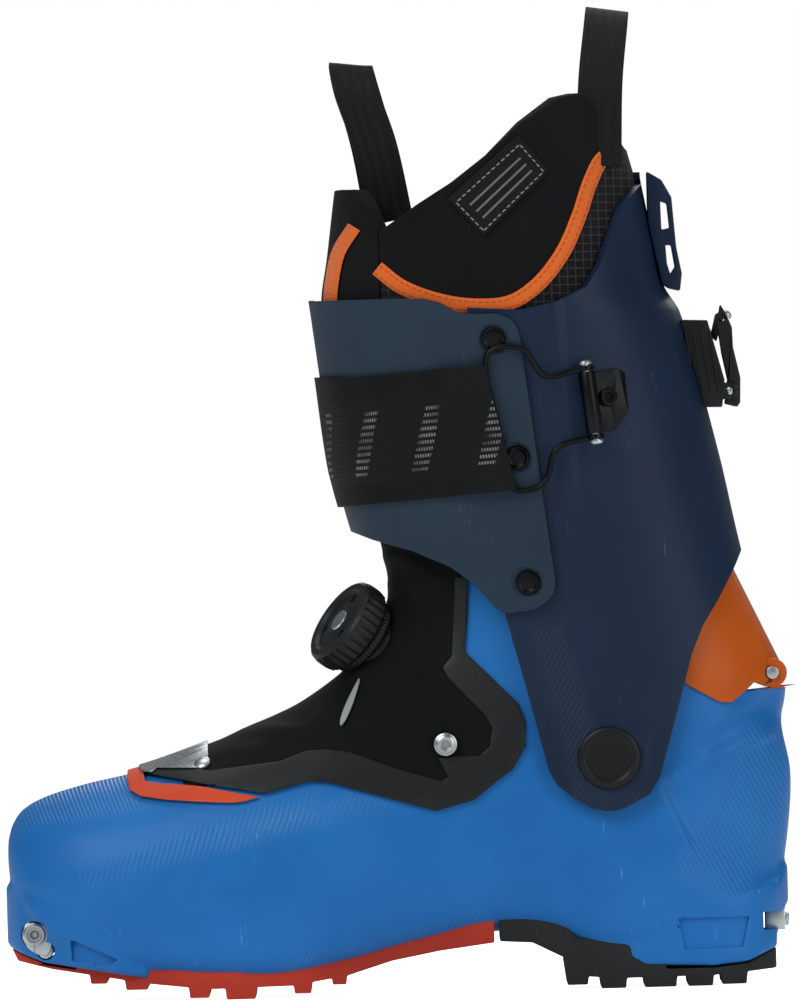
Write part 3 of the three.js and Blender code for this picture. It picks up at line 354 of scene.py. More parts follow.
COLLAR_EDGE = [
    (-121, 230), (-69, 168), (-47, 164), (-11, 144), (23, 124), (50, 108), (60, 109), (80, 109), (109, 230),
]
INSTEP_SLOT = [
    (-165, 120), (-165, 89), (-141, 84), (-109, 88), (-67, 79), (-49, 86), (-43, 100), (-57, 124),
    (-57, 150), (-71, 200), (-171, 200),
]
HEEL_POCKET = [(24, 25), (50, 25), (47.5, 14), (26, 13.6)]
TOE_POCKET = [(-200, 23.6), (-183, 15.8), (-185.5, 13.8), (-199.6, 15.8)]
ANKLE_BORE = 6.35
SHELL_WALL = 3.2
shell_inside = tube_solid("inside", foot_point(places[24::2, ::2], degrees[24::2, ::2], -SHELL_WALL))
carve(lower_shell, shell_inside)
carve(lower_shell, prism("collar", COLLAR_EDGE, -90, 90))
carve(lower_shell, prism("slot", INSTEP_SLOT, -90, 90))
carve(lower_shell, prism("notch", [(55.4, 19.8), (80, 19.8), (80, 26.4), (55.4, 26.4)], -26, 26))
carve(lower_shell, round_bar("ankle_bore", 0, ANKLE_HEIGHT, -90, 90, ANKLE_BORE))
for outline, plan in ((HEEL_POCKET, HEEL_LEDGE_PLAN), (TOE_POCKET, TOE_LEDGE_PLAN)):
    pocket = prism("pocket", outline, -90, 90)
    carve(
        pocket, prism("floor", rounded_line([(x, y * (1 - 1.7 / 38)) for x, y in plan], 70), 0, 60, "plan")
    )
    carve(lower_shell, pocket)
for x, z, radius in ((-213.4, 25.5, 4.95), (-209.4, 19.5, 3.35)):
    carve(lower_shell, round_bar("fitting_bore", x, z, -90, 90, radius))
soften(lower_shell, 0.35, 38, 2, merge=0.12)


def put(tree, kind, *plugs, **named):
    """Adds one shader node. Sockets are linked, and other values are set on the node or its socket."""
    node = tree.nodes.new("ShaderNode" + kind)
    for key in [key for key in named if hasattr(node, key)]:
        setattr(node, key, named.pop(key))
    places_named = {key.replace("_", " "): value for key, value in named.items()}
    for socket, value in [*enumerate(plugs), *places_named.items()]:
        if value is None:
            continue
        if isinstance(value, bpy.types.NodeSocket):
            tree.links.new(value, node.inputs[socket])
        else:
            node.inputs[socket].default_value = value
    return node


def sum_of(tree, operation, *values):
    return put(tree, "Math", *values, operation=operation).outputs[0]


def times(tree, *values):
    return sum_of(tree, "MULTIPLY", *values)


def plus(tree, *values):
    return sum_of(tree, "ADD", *values)


def minus(tree, *values):
    return sum_of(tree, "SUBTRACT", *values)


def size_of(tree, *values):
    return sum_of(tree, "ABSOLUTE", *values)


def steps(tree, value, low, high):
    """0 below low and 1 above high, with a smooth rise."""
    ranged = put(tree, "MapRange", value, low, high, interpolation_type="SMOOTHSTEP")
    return ranged.outputs[0]


def tint(tree, mask, first, second):
    """The first colour where the mask is 0, and the second where it is 1."""
    blend = put(tree, "Mix", data_type="RGBA")
    for socket, value in ((0, mask), (6, first), (7, second)):
        if isinstance(value, bpy.types.NodeSocket):
            tree.links.new(value, blend.inputs[socket])
        else:
            blend.inputs[socket].default_value = value
    return blend.outputs[2]


def group(name, inputs, outputs):
    """An empty node group with its inputs and outputs."""
    tree = bpy.data.node_groups.new(name, "ShaderNodeTree")
    for title, value in inputs.items():
        kind = "NodeSocketVector" if value is None else "NodeSocketFloat"
        socket = tree.interface.new_socket(title, in_out="INPUT", socket_type=kind)
        if value is not None:
            socket.default_value = value
    for title in outputs:
        tree.interface.new_socket(title, in_out="OUTPUT", socket_type="NodeSocketFloat")
    return tree, tree.nodes.new("NodeGroupInput").outputs, tree.nodes.new("NodeGroupOutput").inputs


def place_group(tree, name, **values):
    node = tree.nodes.new("ShaderNodeGroup")
    node.node_tree = bpy.data.node_groups[name]
    for key, value in values.items():
        if isinstance(value, bpy.types.NodeSocket):
            tree.links.new(value, node.inputs[key])
        else:
            node.inputs[key].default_value = value
    return node.outputs


# Fine grain, slow mottling and scuffs of anything moulded or cast.
tree, given, out = group("moulded_skin", {"Grain": 1500.0, "Scuffing": 0.5}, ["Height", "Mottle", "Scuff"])
spot = put(tree, "TexCoord").outputs["Object"]
grain = put(tree, "TexNoise", Vector=spot, Scale=given["Grain"], Detail=2.0)
tree.links.new(grain.outputs["Fac"], out["Height"])
slow = put(tree, "TexNoise", Vector=spot, Scale=16.0, Detail=3.0)
tree.links.new(slow.outputs["Fac"], out["Mottle"])
drawn = put(tree, "Mapping", Vector=spot, Rotation=(0.3, 0.9, 0.2), Scale=(1.0, 1.0, 0.07))
lines = put(tree, "TexNoise", Vector=drawn.outputs[0], Scale=900.0, Detail=1.0)
patches = put(tree, "TexNoise", Vector=spot, Scale=34.0, Detail=4.0, Roughness=0.7)
thin = steps(tree, lines.outputs["Fac"], 0.66, 0.72)
where = steps(tree, patches.outputs["Fac"], 0.56, 0.70)
tree.links.new(times(tree, times(tree, thin, where), given["Scuffing"]), out["Scuff"])

# Parallel moulded ribs that lean in the side view.
tree, given, out = group("leaning_ribs", {"Lean": 60.0, "Pitch": 1.5}, ["Height"])
spot = put(tree, "SeparateXYZ", put(tree, "TexCoord").outputs["Object"]).outputs
angle = sum_of(tree, "RADIANS", given["Lean"])
over = minus(tree, times(tree, spot["X"], sum_of(tree, "SINE", angle)),
    times(tree, spot["Z"], sum_of(tree, "COSINE", angle)),
)
count = sum_of(tree, "DIVIDE", times(tree, over, 1000.0), given["Pitch"])
wave = sum_of(tree, "SINE", times(tree, count, 2 * math.pi))
tree.links.new(sum_of(tree, "MULTIPLY_ADD", wave, 0.5, 0.5), out["Height"])

# A soft-edged slanted field of the side view: 1 between two parallel lines and two ends.
tree, given, out = group(
    "slanted_field",
    {
        "Centre X": 0.0, "Centre Z": 0.0, "Slope": 0.0, "Half Length": 0.03, "Half Width": 0.01,
        "Blur": 0.003
    },
    ["Mask"],
)
spot = put(tree, "SeparateXYZ", put(tree, "TexCoord").outputs["Object"]).outputs
angle = sum_of(tree, "RADIANS", given["Slope"])
dx = minus(tree, spot["X"], given["Centre X"])
dz = minus(tree, spot["Z"], given["Centre Z"])
cosine, sine = sum_of(tree, "COSINE", angle), sum_of(tree, "SINE", angle)
run = plus(tree, times(tree, dx, cosine), times(tree, dz, sine))
off = minus(tree, times(tree, dz, cosine), times(tree, dx, sine))
shares = []
for value, half in ((run, "Half Length"), (off, "Half Width")):
    left = minus(tree, given[half], size_of(tree, value))
    shares.append(sum_of(tree, "DIVIDE", left, given["Blur"]))
clear = put(tree, "Clamp", sum_of(tree, "MINIMUM", *shares)).outputs[0]
tree.links.new(clear, out["Mask"])


def start_finish(name, roughness, specular=0.5, coat=0.0, coat_roughness=0.2, sheen=0.0, metallic=0.0):
    """A new material with its plain values set, its node tree and its shader."""
    material = bpy.data.materials.new(name)
    material.use_nodes = True
    shader = material.node_tree.nodes["Principled BSDF"]
    for key, value in (
        ("Roughness", roughness), ("Specular IOR Level", specular), ("Coat Weight", coat),
        ("Coat Roughness", coat_roughness), ("Sheen Weight", sheen), ("Metallic", metallic),
    ):
        shader.inputs[key].default_value = value
    return material, material.node_tree, shader


def end_finish(tree, shader, colour=None, roughness=None, height=None, distance=0.0003, strength=0.6):
    """Feeds a material's colour, roughness and bump."""
    if colour is not None:
        tree.links.new(colour, shader.inputs["Base Color"])
    if roughness is not None:
        tree.links.new(roughness, shader.inputs["Roughness"])
    if height is not None:
        bump = put(tree, "Bump", Height=height, Distance=distance, Strength=strength)
        tree.links.new(bump.outputs["Normal"], shader.inputs["Normal"])


def moulded(name, dark, light, scuff_and_highlight, roughness, fields=(), rib_depth=1.0, specular=0.2):
    """A moulded plastic. Fields are zones of ribs: x, z, slope, half length, half width, lean, pitch."""
    material, tree, shader = start_finish(name, roughness, specular)
    skin = place_group(tree, "moulded_skin", Grain=1600.0, Scuffing=0.5)
    body = tint(tree, steps(tree, skin["Mottle"], 0.3, 0.7), (*dark, 1), (*light, 1))
    colour = tint(tree, skin["Scuff"], body, (*scuff_and_highlight, 1))
    height = times(tree, skin["Height"], 0.05)
    for x, z, slope, half_length, half_width, lean, pitch in fields:
        mask = place_group(
            tree, "slanted_field",
            **{"Centre X": x * MM, "Centre Z": z * MM, "Slope": slope, "Half Length": half_length * MM,
               "Half Width": half_width * MM, "Blur": 0.005},
        )["Mask"]
        ribs = place_group(tree, "leaning_ribs", Lean=lean, Pitch=pitch)["Height"]
        height = sum_of(tree, "MULTIPLY_ADD", times(tree, ribs, mask), 0.5 * rib_depth, height)
        # The rib crests are tinted a tenth of the way towards the pale scuff colour, a painted highlight
        # along the ribs.
        colour = tint(tree, times(tree, times(tree, ribs, mask), 0.10), colour, (*scuff_and_highlight, 1))
    gloss = sum_of(tree, "MULTIPLY_ADD", skin["Mottle"], 0.12, roughness - 0.06)
    gloss = plus(tree, gloss, times(tree, skin["Scuff"], 0.25))
    end_finish(tree, shader, colour, gloss, height, 0.0005, 0.7)
    return material


shell_blue = moulded(
    "shell_blue", (0.012, 0.150, 0.465), (0.017, 0.185, 0.545), (0.16, 0.40, 0.72), 0.40,
    fields=(
        (-197, 77, 10, 26, 12, 112, 1.45), (-150, 58, 16, 48, 7, 72, 1.9), (-112, 66, 14, 34, 7, 66, 1.9),
        (-84, 20, 12, 40, 5, 60, 1.6), (50, 62, 60, 34, 17, 118, 1.7),
    ),
)


def fit(made, body, material, slot, *nodes):
    """Gives a piece its finish, lets it ride on a body and lets it stand for CAD nodes."""
    made.data.materials.clear()
    made.data.materials.append(material)
    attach(made, body)
    if nodes:
        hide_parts(*nodes)
    return made


fit(lower_shell, "shell", shell_blue, "shell_blue", "lower_shell")

# ---- Soles --------------------------------------------------------------------------------
# A red front sole and a black heel sole of moulded rubber, bonded under the shell. Their webs
# follow the rocker, and cross lugs with bevelled edges stand down from them.


def refined(node, name, bevel, angle=30, merge=0.08, segments=2):
    """A CAD node's shape as a new piece, with its doubles merged and its edges rounded."""
    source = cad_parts[node].data
    points = [tuple(v.co / MM) for v in source.vertices]
    made = outward(mesh_object(name, points, [tuple(p.vertices) for p in source.polygons]))
    return soften(made, bevel, angle, segments, merge)


def rubber(name, dark, light, dust):
    """Rubber with a matt moulded skin and a little dust in its grain."""
    material, tree, shader = start_finish(name, 0.7, 0.35)
    skin = place_group(tree, "moulded_skin", Grain=2600.0, Scuffing=0.9)
    body = tint(tree, steps(tree, skin["Mottle"], 0.35, 0.65), (*dark, 1), (*light, 1))
    colour = tint(tree, skin["Scuff"], body, (*dust, 1))
    end_finish(
        tree, shader, colour, sum_of(tree, "MULTIPLY_ADD", skin["Mottle"], 0.2, 0.55), skin["Height"],
        0.0002, 0.6
    )
    return material


sole_red = rubber("sole_red", (0.42, 0.028, 0.012), (0.58, 0.045, 0.018), (0.62, 0.16, 0.09))
sole_black = rubber("sole_black", (0.006, 0.007, 0.007), (0.014, 0.016, 0.016), (0.07, 0.07, 0.07))
fit(refined("front_sole", "sole_front", 0.5), "shell", sole_red, "sole_red", "front_sole")
fit(refined("heel_sole", "sole_heel", 0.5), "shell", sole_black, "sole_black", "heel_sole")

# ---- Binding fittings ---------------------------------------------------------------------
# Zinc-plated steel: a pin socket on each side of the toe, with a small notch below it for the
# binding's pin to find its way, and a slotted plate in the heel held by one screw.


def turned(name, profile, at, along, sides=48, bevel=0.0):
    """A turned piece from radius and height pairs, from the axis to the axis, laid along a direction."""
    profile = np.asarray(profile, float)
    turns = np.linspace(0, 2 * math.pi, sides, endpoint=False)
    rings = np.stack([
        np.outer(profile[:, 0], np.cos(turns)), np.outer(profile[:, 0], np.sin(turns)),
        np.repeat(profile[:, 1:], sides, axis=1),
    ], axis=-1)
    lie = np.array(Vector(along).to_track_quat("Z", "Y").to_matrix())
    made = outward(
        mesh_object(
            name, (rings @ lie.T + np.asarray(at)).reshape(-1, 3),
            grid_faces(len(profile), sides, closed=True)
        )
    )
    return soften(made, bevel, 28, 3)


def metal(name, dark, light, roughness, grain=2500.0, wear=(0.5, 0.5, 0.5)):
    """Plated or painted metal with a fine tooth and bright rubbed spots."""
    material, tree, shader = start_finish(name, roughness, metallic=1.0)
    skin = place_group(tree, "moulded_skin", Grain=grain, Scuffing=0.8)
    body = tint(tree, steps(tree, skin["Mottle"], 0.3, 0.7), (*dark, 1), (*light, 1))
    colour = tint(tree, skin["Scuff"], body, (*wear, 1))
    end_finish(
        tree, shader, colour, sum_of(tree, "MULTIPLY_ADD", skin["Height"], 0.2, roughness - 0.1),
        skin["Height"], 0.00008, 0.5
    )
    return material


steel = metal("zinc_steel", (0.42, 0.45, 0.46), (0.66, 0.70, 0.71), 0.34, wear=(0.8, 0.82, 0.82))
TOE_PIN = (-213.4, 25.5)
SOCKET_PLATE = [
    (-216.8, 28.2), (-214.6, 29.5), (-209.4, 29), (-207.5, 25.6), (-207, 21), (-209.2, 17.6),
    (-212.2, 18.2), (-215.9, 20.8), (-217.2, 23.8),
]
SOCKET_RING = [(0, -3), (2.3, -3), (2.4, 0.5), (2.9, 1.0), (3.6, 1.0), (4.2, 0.5), (4.4, -3), (0, -3)]
SOCKET_BORE = [(0, -2.6), (0.8, -2.6), (1.5, -0.6), (2.1, 0.5), (2.4, 2), (0, 2)]
sockets = refined("toe_insert", "toe_sockets", 0.25, merge=0.05)
for side in (-1, 1):
    plate = prism("plate", rounded_line(SOCKET_PLATE, 48, closed=True), *sorted((side * 30.2, side * 33.2)))
    carve(sockets, soften(plate, 0.5, 35, 3), "UNION")
    for profile, operation in ((SOCKET_RING, "UNION"), (SOCKET_BORE, "DIFFERENCE")):
        carve(
            sockets, turned("eye", profile, (TOE_PIN[0], side * 33.2, TOE_PIN[1]), (0, side, 0)), operation
        )
    slit = prism(
        "slit", [(-214.1, 15), (-212.9, 15), (-213.2, 22), (-213.8, 22)], *sorted((side * 32.4, side * 36))
    )
    carve(sockets, slit)
fit(smooth(sockets), "shell", steel, "hardware_steel", "toe_insert")
fit(refined("heel_insert", "heel_fitting", 0.35), "shell", steel, "hardware_steel", "heel_insert")
SCREW_HEAD = [
    (0, 0.5), (1.15, 0.5), (1.25, 1.25), (1.9, 1.35), (2.45, 0.9), (2.6, 0.3), (2.6, 0), (1.15, 0),
    (1.15, -6.5), (0, -6.5),
]
fit(
    turned("heel_screw", SCREW_HEAD, (63.9, 0, 23.4), (1, 0, 0), 32), "shell", steel, "hardware_steel",
    "heel_insert_screw"
)

# ---- Inside the shell ---------------------------------------------------------------------
# A grey boot board lies on the shell's bottom. The liner's foot, sewn from foam and lining, stands
# on it with a foot bed inside.
board_grey = moulded("board_grey", (0.16, 0.17, 0.18), (0.22, 0.23, 0.24), (0.4, 0.4, 0.4), 0.55)
fit(refined("boot_board", "board", 0.6), "shell", board_grey, "board_grey", "boot_board")


def zigzag(tree, *values):
    return sum_of(tree, "PINGPONG", *values)


# A plain weave of two thread directions over a plane given in millimetres.
tree, given, out = group("woven", {"Plane": None, "Pitch": 0.8}, ["Height", "Grid"])
flat = put(
    tree, "SeparateXYZ", put(tree, "VectorMath", given["Plane"], (1, 1, 1), operation="MULTIPLY").outputs[0]
).outputs
u, v = (sum_of(tree, "DIVIDE", flat[axis], given["Pitch"]) for axis in ("X", "Y"))
over = size_of(tree, sum_of(tree, "SINE", times(tree, u, math.pi)))
under = size_of(tree, sum_of(tree, "SINE", times(tree, v, math.pi)))
cells = plus(tree, sum_of(tree, "FLOOR", u), sum_of(tree, "FLOOR", v))
odd = sum_of(tree, "FLOORED_MODULO", cells, 2.0)
swap = plus(tree, times(tree, over, odd), times(tree, under, minus(tree, 1.0, odd)))
tree.links.new(swap, out["Height"])
ripstop = [steps(tree, zigzag(tree, axis, 1.0), 0.74, 0.96) for axis in (u, v)]
tree.links.new(sum_of(tree, "MAXIMUM", *ripstop), out["Grid"])


def side_plane(tree):
    """The side view's x and z in millimetres, as a flat plane for a weave."""
    spot = put(tree, "SeparateXYZ", put(tree, "TexCoord").outputs["Object"]).outputs
    return put(
        tree, "VectorMath", put(tree, "CombineXYZ", spot["X"], spot["Z"]).outputs[0], (1000, 1000, 1000),
        operation="MULTIPLY"
    ).outputs[0]


def cloth(
    name, dark, light, thread, pitch, roughness=0.85, sheen=0.02, ripstop=0.0, by_uv=False, depth=0.00012
):
    """A woven or knitted cloth. Ripstop is how strongly a fine square grid shows."""
    material, tree, shader = start_finish(name, roughness, 0.08, sheen=sheen)
    plane = put(tree, "TexCoord").outputs["UV"] if by_uv else side_plane(tree)
    weave = place_group(tree, "woven", Plane=plane, Pitch=pitch)
    skin = place_group(tree, "moulded_skin", Grain=1900.0, Scuffing=0.25)
    body = tint(tree, steps(tree, skin["Mottle"], 0.3, 0.7), (*dark, 1), (*light, 1))
    body = tint(tree, times(tree, weave["Height"], 0.22), body, (*thread, 1))
    if ripstop:
        coarse = place_group(tree, "woven", Plane=plane, Pitch=pitch * 2)
        body = tint(tree, times(tree, coarse["Grid"], ripstop), body, (*thread, 1))
    lint = times(tree, skin["Scuff"], 0.5)
    height = plus(tree, weave["Height"], times(tree, skin["Height"], 0.6))
    end_finish(tree, shader, tint(tree, lint, body, (0.1, 0.1, 0.1, 1)), None, height, depth, 0.8)
    return material


liner_black = cloth(
    "liner_cloth", (0.0035, 0.0038, 0.004), (0.007, 0.0075, 0.008), (0.03, 0.03, 0.033), 0.9
)
PAD_VOXEL = 2.2
for node, name, fullness in (("liner_foot", "liner_foot_pad", 0.6), ("foot_bed", "foot_bed_pad", 0.4)):
    pad = refined(node, name, 0, merge=0.3)
    use(pad, "REMESH", mode="VOXEL", voxel_size=PAD_VOXEL * MM)
    use(pad, "SMOOTH", factor=0.5, iterations=4)
    fit(smooth(pad, 80), "shell", liner_black, "liner_foam", node)

# ---- Gaiter -------------------------------------------------------------------------------
# A waterproof stretch fabric closes the shell's instep. A soft moulded frame holds its edge to the
# shell, an orange trim and a metal plate close it at the toe, and its top goes up under the cuff.
GAITER_EDGE = [
    (-177.7, 79), (-173, 75), (-152, 72.8), (-138, 72.2), (-128, 74.5), (-110, 79.4), (-103, 78.7),
    (-81, 72.2), (-64, 67.2), (-50, 70.8), (-35, 82.5), (-30.7, 90), (-30.7, 100), (-33, 106), (-52, 125.5),
    (-50, 153),
]
FRAME_INNER = [
    (-55, 153), (-57, 124), (-60.5, 120), (-58.5, 116), (-45, 101.6), (-42.8, 97.5), (-43.8, 90.4),
    (-47.5, 87.2), (-62.8, 86.6), (-59.5, 79.6), (-62.1, 78.1), (-79, 83.5), (-95, 89.7), (-104, 91),
    (-112, 90.5), (-121.4, 87.1), (-147, 84.4),
]
FABRIC_EDGE = [
    (-158, 78), (-140, 78.5), (-121, 81), (-104, 85), (-79, 78), (-62, 73.5), (-50, 79), (-38, 88),
    (-37, 99), (-40, 105), (-54.5, 122), (-52.5, 153), (-45, 172), (-80, 195), (-120, 195), (-160, 130),
]


def crease(x, z, ax, az, bx, bz, width, height):
    """A soft fold along a line of the side view, dying away at its ends."""
    length = math.hypot(bx - ax, bz - az)
    ux, uz = (bx - ax) / length, (bz - az) / length
    run = ((x - ax) * ux + (z - az) * uz) / length
    off = (z - az) * ux - (x - ax) * uz - width * 0.8 * np.sin(run * 4.5)
    ends = np.clip(np.minimum(run, 1 - run) * 4, 0, 1)
    return height * ends * np.exp(-((off / width) ** 2))


def fabric_relief(x, y, z):
    """Folds that run out from the dial and across the ankle, and a slow unevenness."""
    folds = (
        crease(x, z, -95, 118, -60, 112, 3.4, 1.5) + crease(x, z, -92, 108, -62, 100, 3.0, -0.9)
        + crease(x, z, -100, 106, -128, 92, 3.2, 1.1) + crease(x, z, -84, 150, -58, 138, 3.0, 1.4)
        + crease(x, z, -86, 160, -54, 150, 2.8, 1.2) + crease(x, z, -80, 142, -60, 128, 2.6, -0.9)
        + crease(x, z, -142, 92, -112, 100, 2.8, 0.8) + crease(x, z, -150, 87, -118, 93, 2.0, 0.6)
        + crease(x, z, -74, 168, -66, 132, 3.0, 1.0) + crease(x, z, -98, 100, -74, 92, 2.6, 0.8)
    )
    spots = np.stack([x, y, z], axis=-1).reshape(-1, 3) / 17
    swell = np.array([noise.noise(Vector(spot)) for spot in spots]).reshape(np.shape(x))
    return folds + 0.55 * swell


places, degrees = np.meshgrid(np.linspace(5.2, 19.3, 190), np.linspace(-102, 102, 150), indexing="ij")
flat = foot_point(places, degrees, 0)
folded = fabric_relief(flat[..., 0], flat[..., 1], flat[..., 2])
calm = within(flat[..., 0], flat[..., 2], FABRIC_EDGE, 7.0)
points = foot_point(places, degrees, 0.75 + np.maximum(folded * calm, -0.35))
gaiter = mesh_object("gaiter_cloth", points.reshape(-1, 3), grid_faces(*places.shape))
inside = within(points[..., 0], points[..., 2], FABRIC_EDGE, 0.01).reshape(-1) > 0.5
shape = bmesh.new()
shape.from_mesh(gaiter.data)
bmesh.ops.delete(shape, geom=[v for v, kept in zip(list(shape.verts), inside) if not kept], context="VERTS")
bmesh.ops.recalc_face_normals(shape, faces=shape.faces)
middle = max(shape.faces, key=lambda face: face.calc_center_median().z - face.calc_center_median().x)
if middle.normal.x > 0:
    bmesh.ops.reverse_faces(shape, faces=shape.faces)
cut_area = sum(face.calc_area() for face in shape.faces)
shape.to_mesh(gaiter.data)
shape.free()
use(gaiter, "SOLIDIFY", thickness=0.6 * MM, offset=0)
smooth(gaiter, 60)
gaiter_cloth = cloth(
    "gaiter_cloth", (0.0038, 0.0042, 0.004), (0.0062, 0.0066, 0.0064), (0.018, 0.018, 0.018), 0.45, 0.7,
    0.02, depth=0.00005
)
gaiter.data.materials.append(gaiter_cloth)
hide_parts("gaiter_fabric")
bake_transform(gaiter)

frame_black = moulded(
    "frame_rubber", (0.008, 0.0105, 0.0105), (0.012, 0.0145, 0.015), (0.06, 0.065, 0.07), 0.45,
    specular=0.28
)
trim_orange = moulded("trim_orange", (0.60, 0.055, 0.014), (0.70, 0.075, 0.02), (0.8, 0.25, 0.12), 0.42)
fine_places, fine_degrees = np.meshgrid(np.linspace(3, 18.6, 200), np.arange(0, 360, 2.0), indexing="ij")


def foot_layer(name, low, high, outline, y_low=-90, y_high=90):
    """The layer of the foot's form between two offsets, inside an outline of the side view."""
    made = tube_solid(name, foot_point(fine_places, fine_degrees, high))
    carve(made, tube_solid("core", foot_point(fine_places, fine_degrees, low)))
    return carve(made, prism("edge", outline, y_low, y_high), "INTERSECT")


TRIM_ZONE = [
    (-177.8, 81.9), (-176.9, 78), (-172.9, 75.6), (-163.6, 74.1), (-151, 73), (-139.2, 72.3),
    (-134.4, 72.8), (-129.2, 74.2), (-137.5, 75.9), (-151.3, 78.8), (-166.8, 80.2), (-171, 81),
    (-171.6, 83.2), (-172, 120), (-178, 120),
]
FRAME_ZONE = [
    (-171.2, 84), (-151, 79.8), (-136, 77.2), (-127, 75.4)
] + GAITER_EDGE[5:] + FRAME_INNER + [(-149.6, 84.6), (-149.6, 99), (-171.2, 99)]
for side, word, limits in ((-1, "outer", (-90, 0)), (1, "inner", (0, 90))):
    rim = foot_layer(f"gaiter_rim_{word}", 0.3, 1.9, FRAME_ZONE, *limits)
    fit(soften(rim, 0.3, 40, 2, merge=0.25), "shell", frame_black, "frame_black", f"gaiter_frame_{word}")
trim = foot_layer("toe_trim_band", 0.3, 1.7, TRIM_ZONE)
fit(soften(trim, 0.3, 40, 2, merge=0.25), "shell", trim_orange, "trim_orange", "toe_trim")
plate_silver = metal("plate_silver", (0.50, 0.55, 0.57), (0.62, 0.67, 0.69), 0.28, wear=(0.8, 0.82, 0.84))
PLATE_ZONE = [
    (-173.5, 120), (-173.5, 86), (-172.4, 84.6), (-169, 84.2), (-166.7, 85.7), (-153, 85.4), (-149.2, 86.4),
    (-147.6, 88.2), (-147.9, 94), (-148, 120),
]
plate = foot_layer("toe_badge", 1.7, 2.5, PLATE_ZONE, -32, 32)
fit(soften(plate, 0.25, 40, 2, merge=0.25), "shell", plate_silver, "hardware_steel", "toe_plate")
RIVET_CAP = [(0, 1.1), (1.3, 1.0), (2.4, 0.7), (3.1, 0.2), (3.2, -0.5), (0, -0.5)]
spot = foot_point(np.array(6.05), np.array(-33.0), 2.3)
fit(turned("badge_rivet", RIVET_CAP, spot, (-0.25, -0.55, 0.8), 32), "shell", steel, "hardware_steel")

# ---- Lace dial ----------------------------------------------------------------------------
# A ratchet dial of black nylon on the instep takes up a thin steel lace. A round base, a knurled
# bezel and a gripped knob turn about one spindle, and a grey cloth tab lies on the gaiter by it.
DIAL_SEAT = np.array((-86.2, -9, 129.5))
DIAL_AXIS = np.array(Vector((-0.75, -0.35, 0.56)).normalized())
plastic_black = moulded(
    "dial_nylon", (0.010, 0.011, 0.012), (0.017, 0.018, 0.019), (0.07, 0.07, 0.07), 0.38
)


def dial_part(name, profile, sides=72, bevel=0.0):
    return turned(name, profile, DIAL_SEAT, DIAL_AXIS, sides, bevel)


def gripped(made, count, low, high, depth):
    """Presses grooves into the side of a round dial part, between two heights on its axis."""
    side, up = Vector(DIAL_AXIS).orthogonal().normalized(), Vector(DIAL_AXIS)
    cross = up.cross(side)
    for vertex in made.data.vertices:
        arm = vertex.co - Vector(DIAL_SEAT * MM)
        height = arm.dot(up) / MM
        if low < height < high:
            flat = arm - up * arm.dot(up)
            turn = math.atan2(flat.dot(cross), flat.dot(side))
            press = depth * (0.5 - 0.5 * math.cos(turn * count)) ** 2
            vertex.co -= flat.normalized() * press * MM
    return made


base = dial_part(
    "dial_foot", [(0, 5.2), (10.4, 5.2), (10.6, 2.6), (12.2, 1.6), (12.9, 0.2), (12.9, -4), (0, -4)],
    bevel=0.3
)
carve(base, tube_solid("instep", foot_point(fine_places, fine_degrees, 1.2)))
fit(smooth(base), "shell", plastic_black, "plastic_black", "dial_base")
BEZEL = [(10.95, 2.9), (13.8, 2.9), (14.9, 3.3), (15.0, 4.4), (14.6, 5.5), (10.95, 5.6), (10.95, 2.9)]
bezel = gripped(dial_part("dial_ring", BEZEL, 240), 60, 3.1, 5.55, 0.6)
fit(bezel, "shell", plastic_black, "plastic_black", "dial_bezel")
spindle = dial_part("spindle", [(0, 13.4), (3, 13.4), (3, 6.4), (1.8, 6.4), (1.8, 3.2), (0, 3.2)], 32)
fit(spindle, "spindle", steel, "hardware_steel", "dial_spindle")
KNOB = [
    (3.4, 6), (13.6, 6.0), (15.6, 6.4), (16.9, 7.4), (17.3, 9.2), (17.35, 11.5), (17.25, 13.6),
    (16.7, 15.4), (15.6, 16.4), (14.2, 16.6), (13.2, 16.4), (12.6, 15.8), (11.9, 15.3), (8.0, 15.5),
    (7.2, 15.9), (5.2, 16.0), (4.6, 15.6), (0, 15.5), (0, 14), (3.4, 14), (3.4, 6),
]
knob = gripped(dial_part("dial_grip", KNOB, 240), 30, 6.9, 15.0, 0.75)
side_way = np.array(Vector(DIAL_AXIS).orthogonal().normalized())
cross_way = np.cross(DIAL_AXIS, side_way)
for turn in np.radians((20, 140, 260)):
    middle = DIAL_SEAT + DIAL_AXIS * 16.6 + (side_way * math.cos(turn) + cross_way * math.sin(turn)) * 9.6
    window = turned("window", [(0, 1), (2.0, 1), (1.6, -1.9), (0, -1.9)], middle, DIAL_AXIS, 24)
    carve(knob, window)
fit(smooth(knob, 30), "knob", plastic_black, "plastic_black", "dial_knob")
boss = dial_part("dial_boss", [(0, 16.7), (2.6, 16.6), (4.0, 16.2), (4.3, 15.7), (0, 15.6)], 40)
fit(boss, "knob", plate_silver, "hardware_steel")
tab_grey = cloth("tab_cloth", (0.30, 0.33, 0.34), (0.40, 0.43, 0.44), (0.6, 0.6, 0.6), 0.5, 0.6, 0.1)
runs, turns = np.meshgrid(
    np.linspace(0, 1, 25), np.linspace(0, 2 * math.pi, 20, endpoint=False), indexing="ij"
)
wide = 3.1 * np.sqrt(np.clip(runs * (1 - runs), 0, 1)) * 2 * (0.55 + 0.45 * runs)
middle = foot_point(9.42 - 0.72 * runs, -33 - 13 * runs, 2.3)
step = foot_point(9.42 - 0.72 * runs, -34 - 13 * runs, 2.3) - middle
step /= np.linalg.norm(step, axis=-1, keepdims=True)
rise = foot_point(9.42 - 0.72 * runs, -33 - 13 * runs, 3.3) - middle
tab = tube_solid(
    "dial_pull_tab",
    middle + step * (wide * np.cos(turns))[..., None] + rise * (0.7 * np.sin(turns))[..., None]
)
fit(smooth(tab, 60), "shell", tab_grey, "tab_grey", "dial_tab")

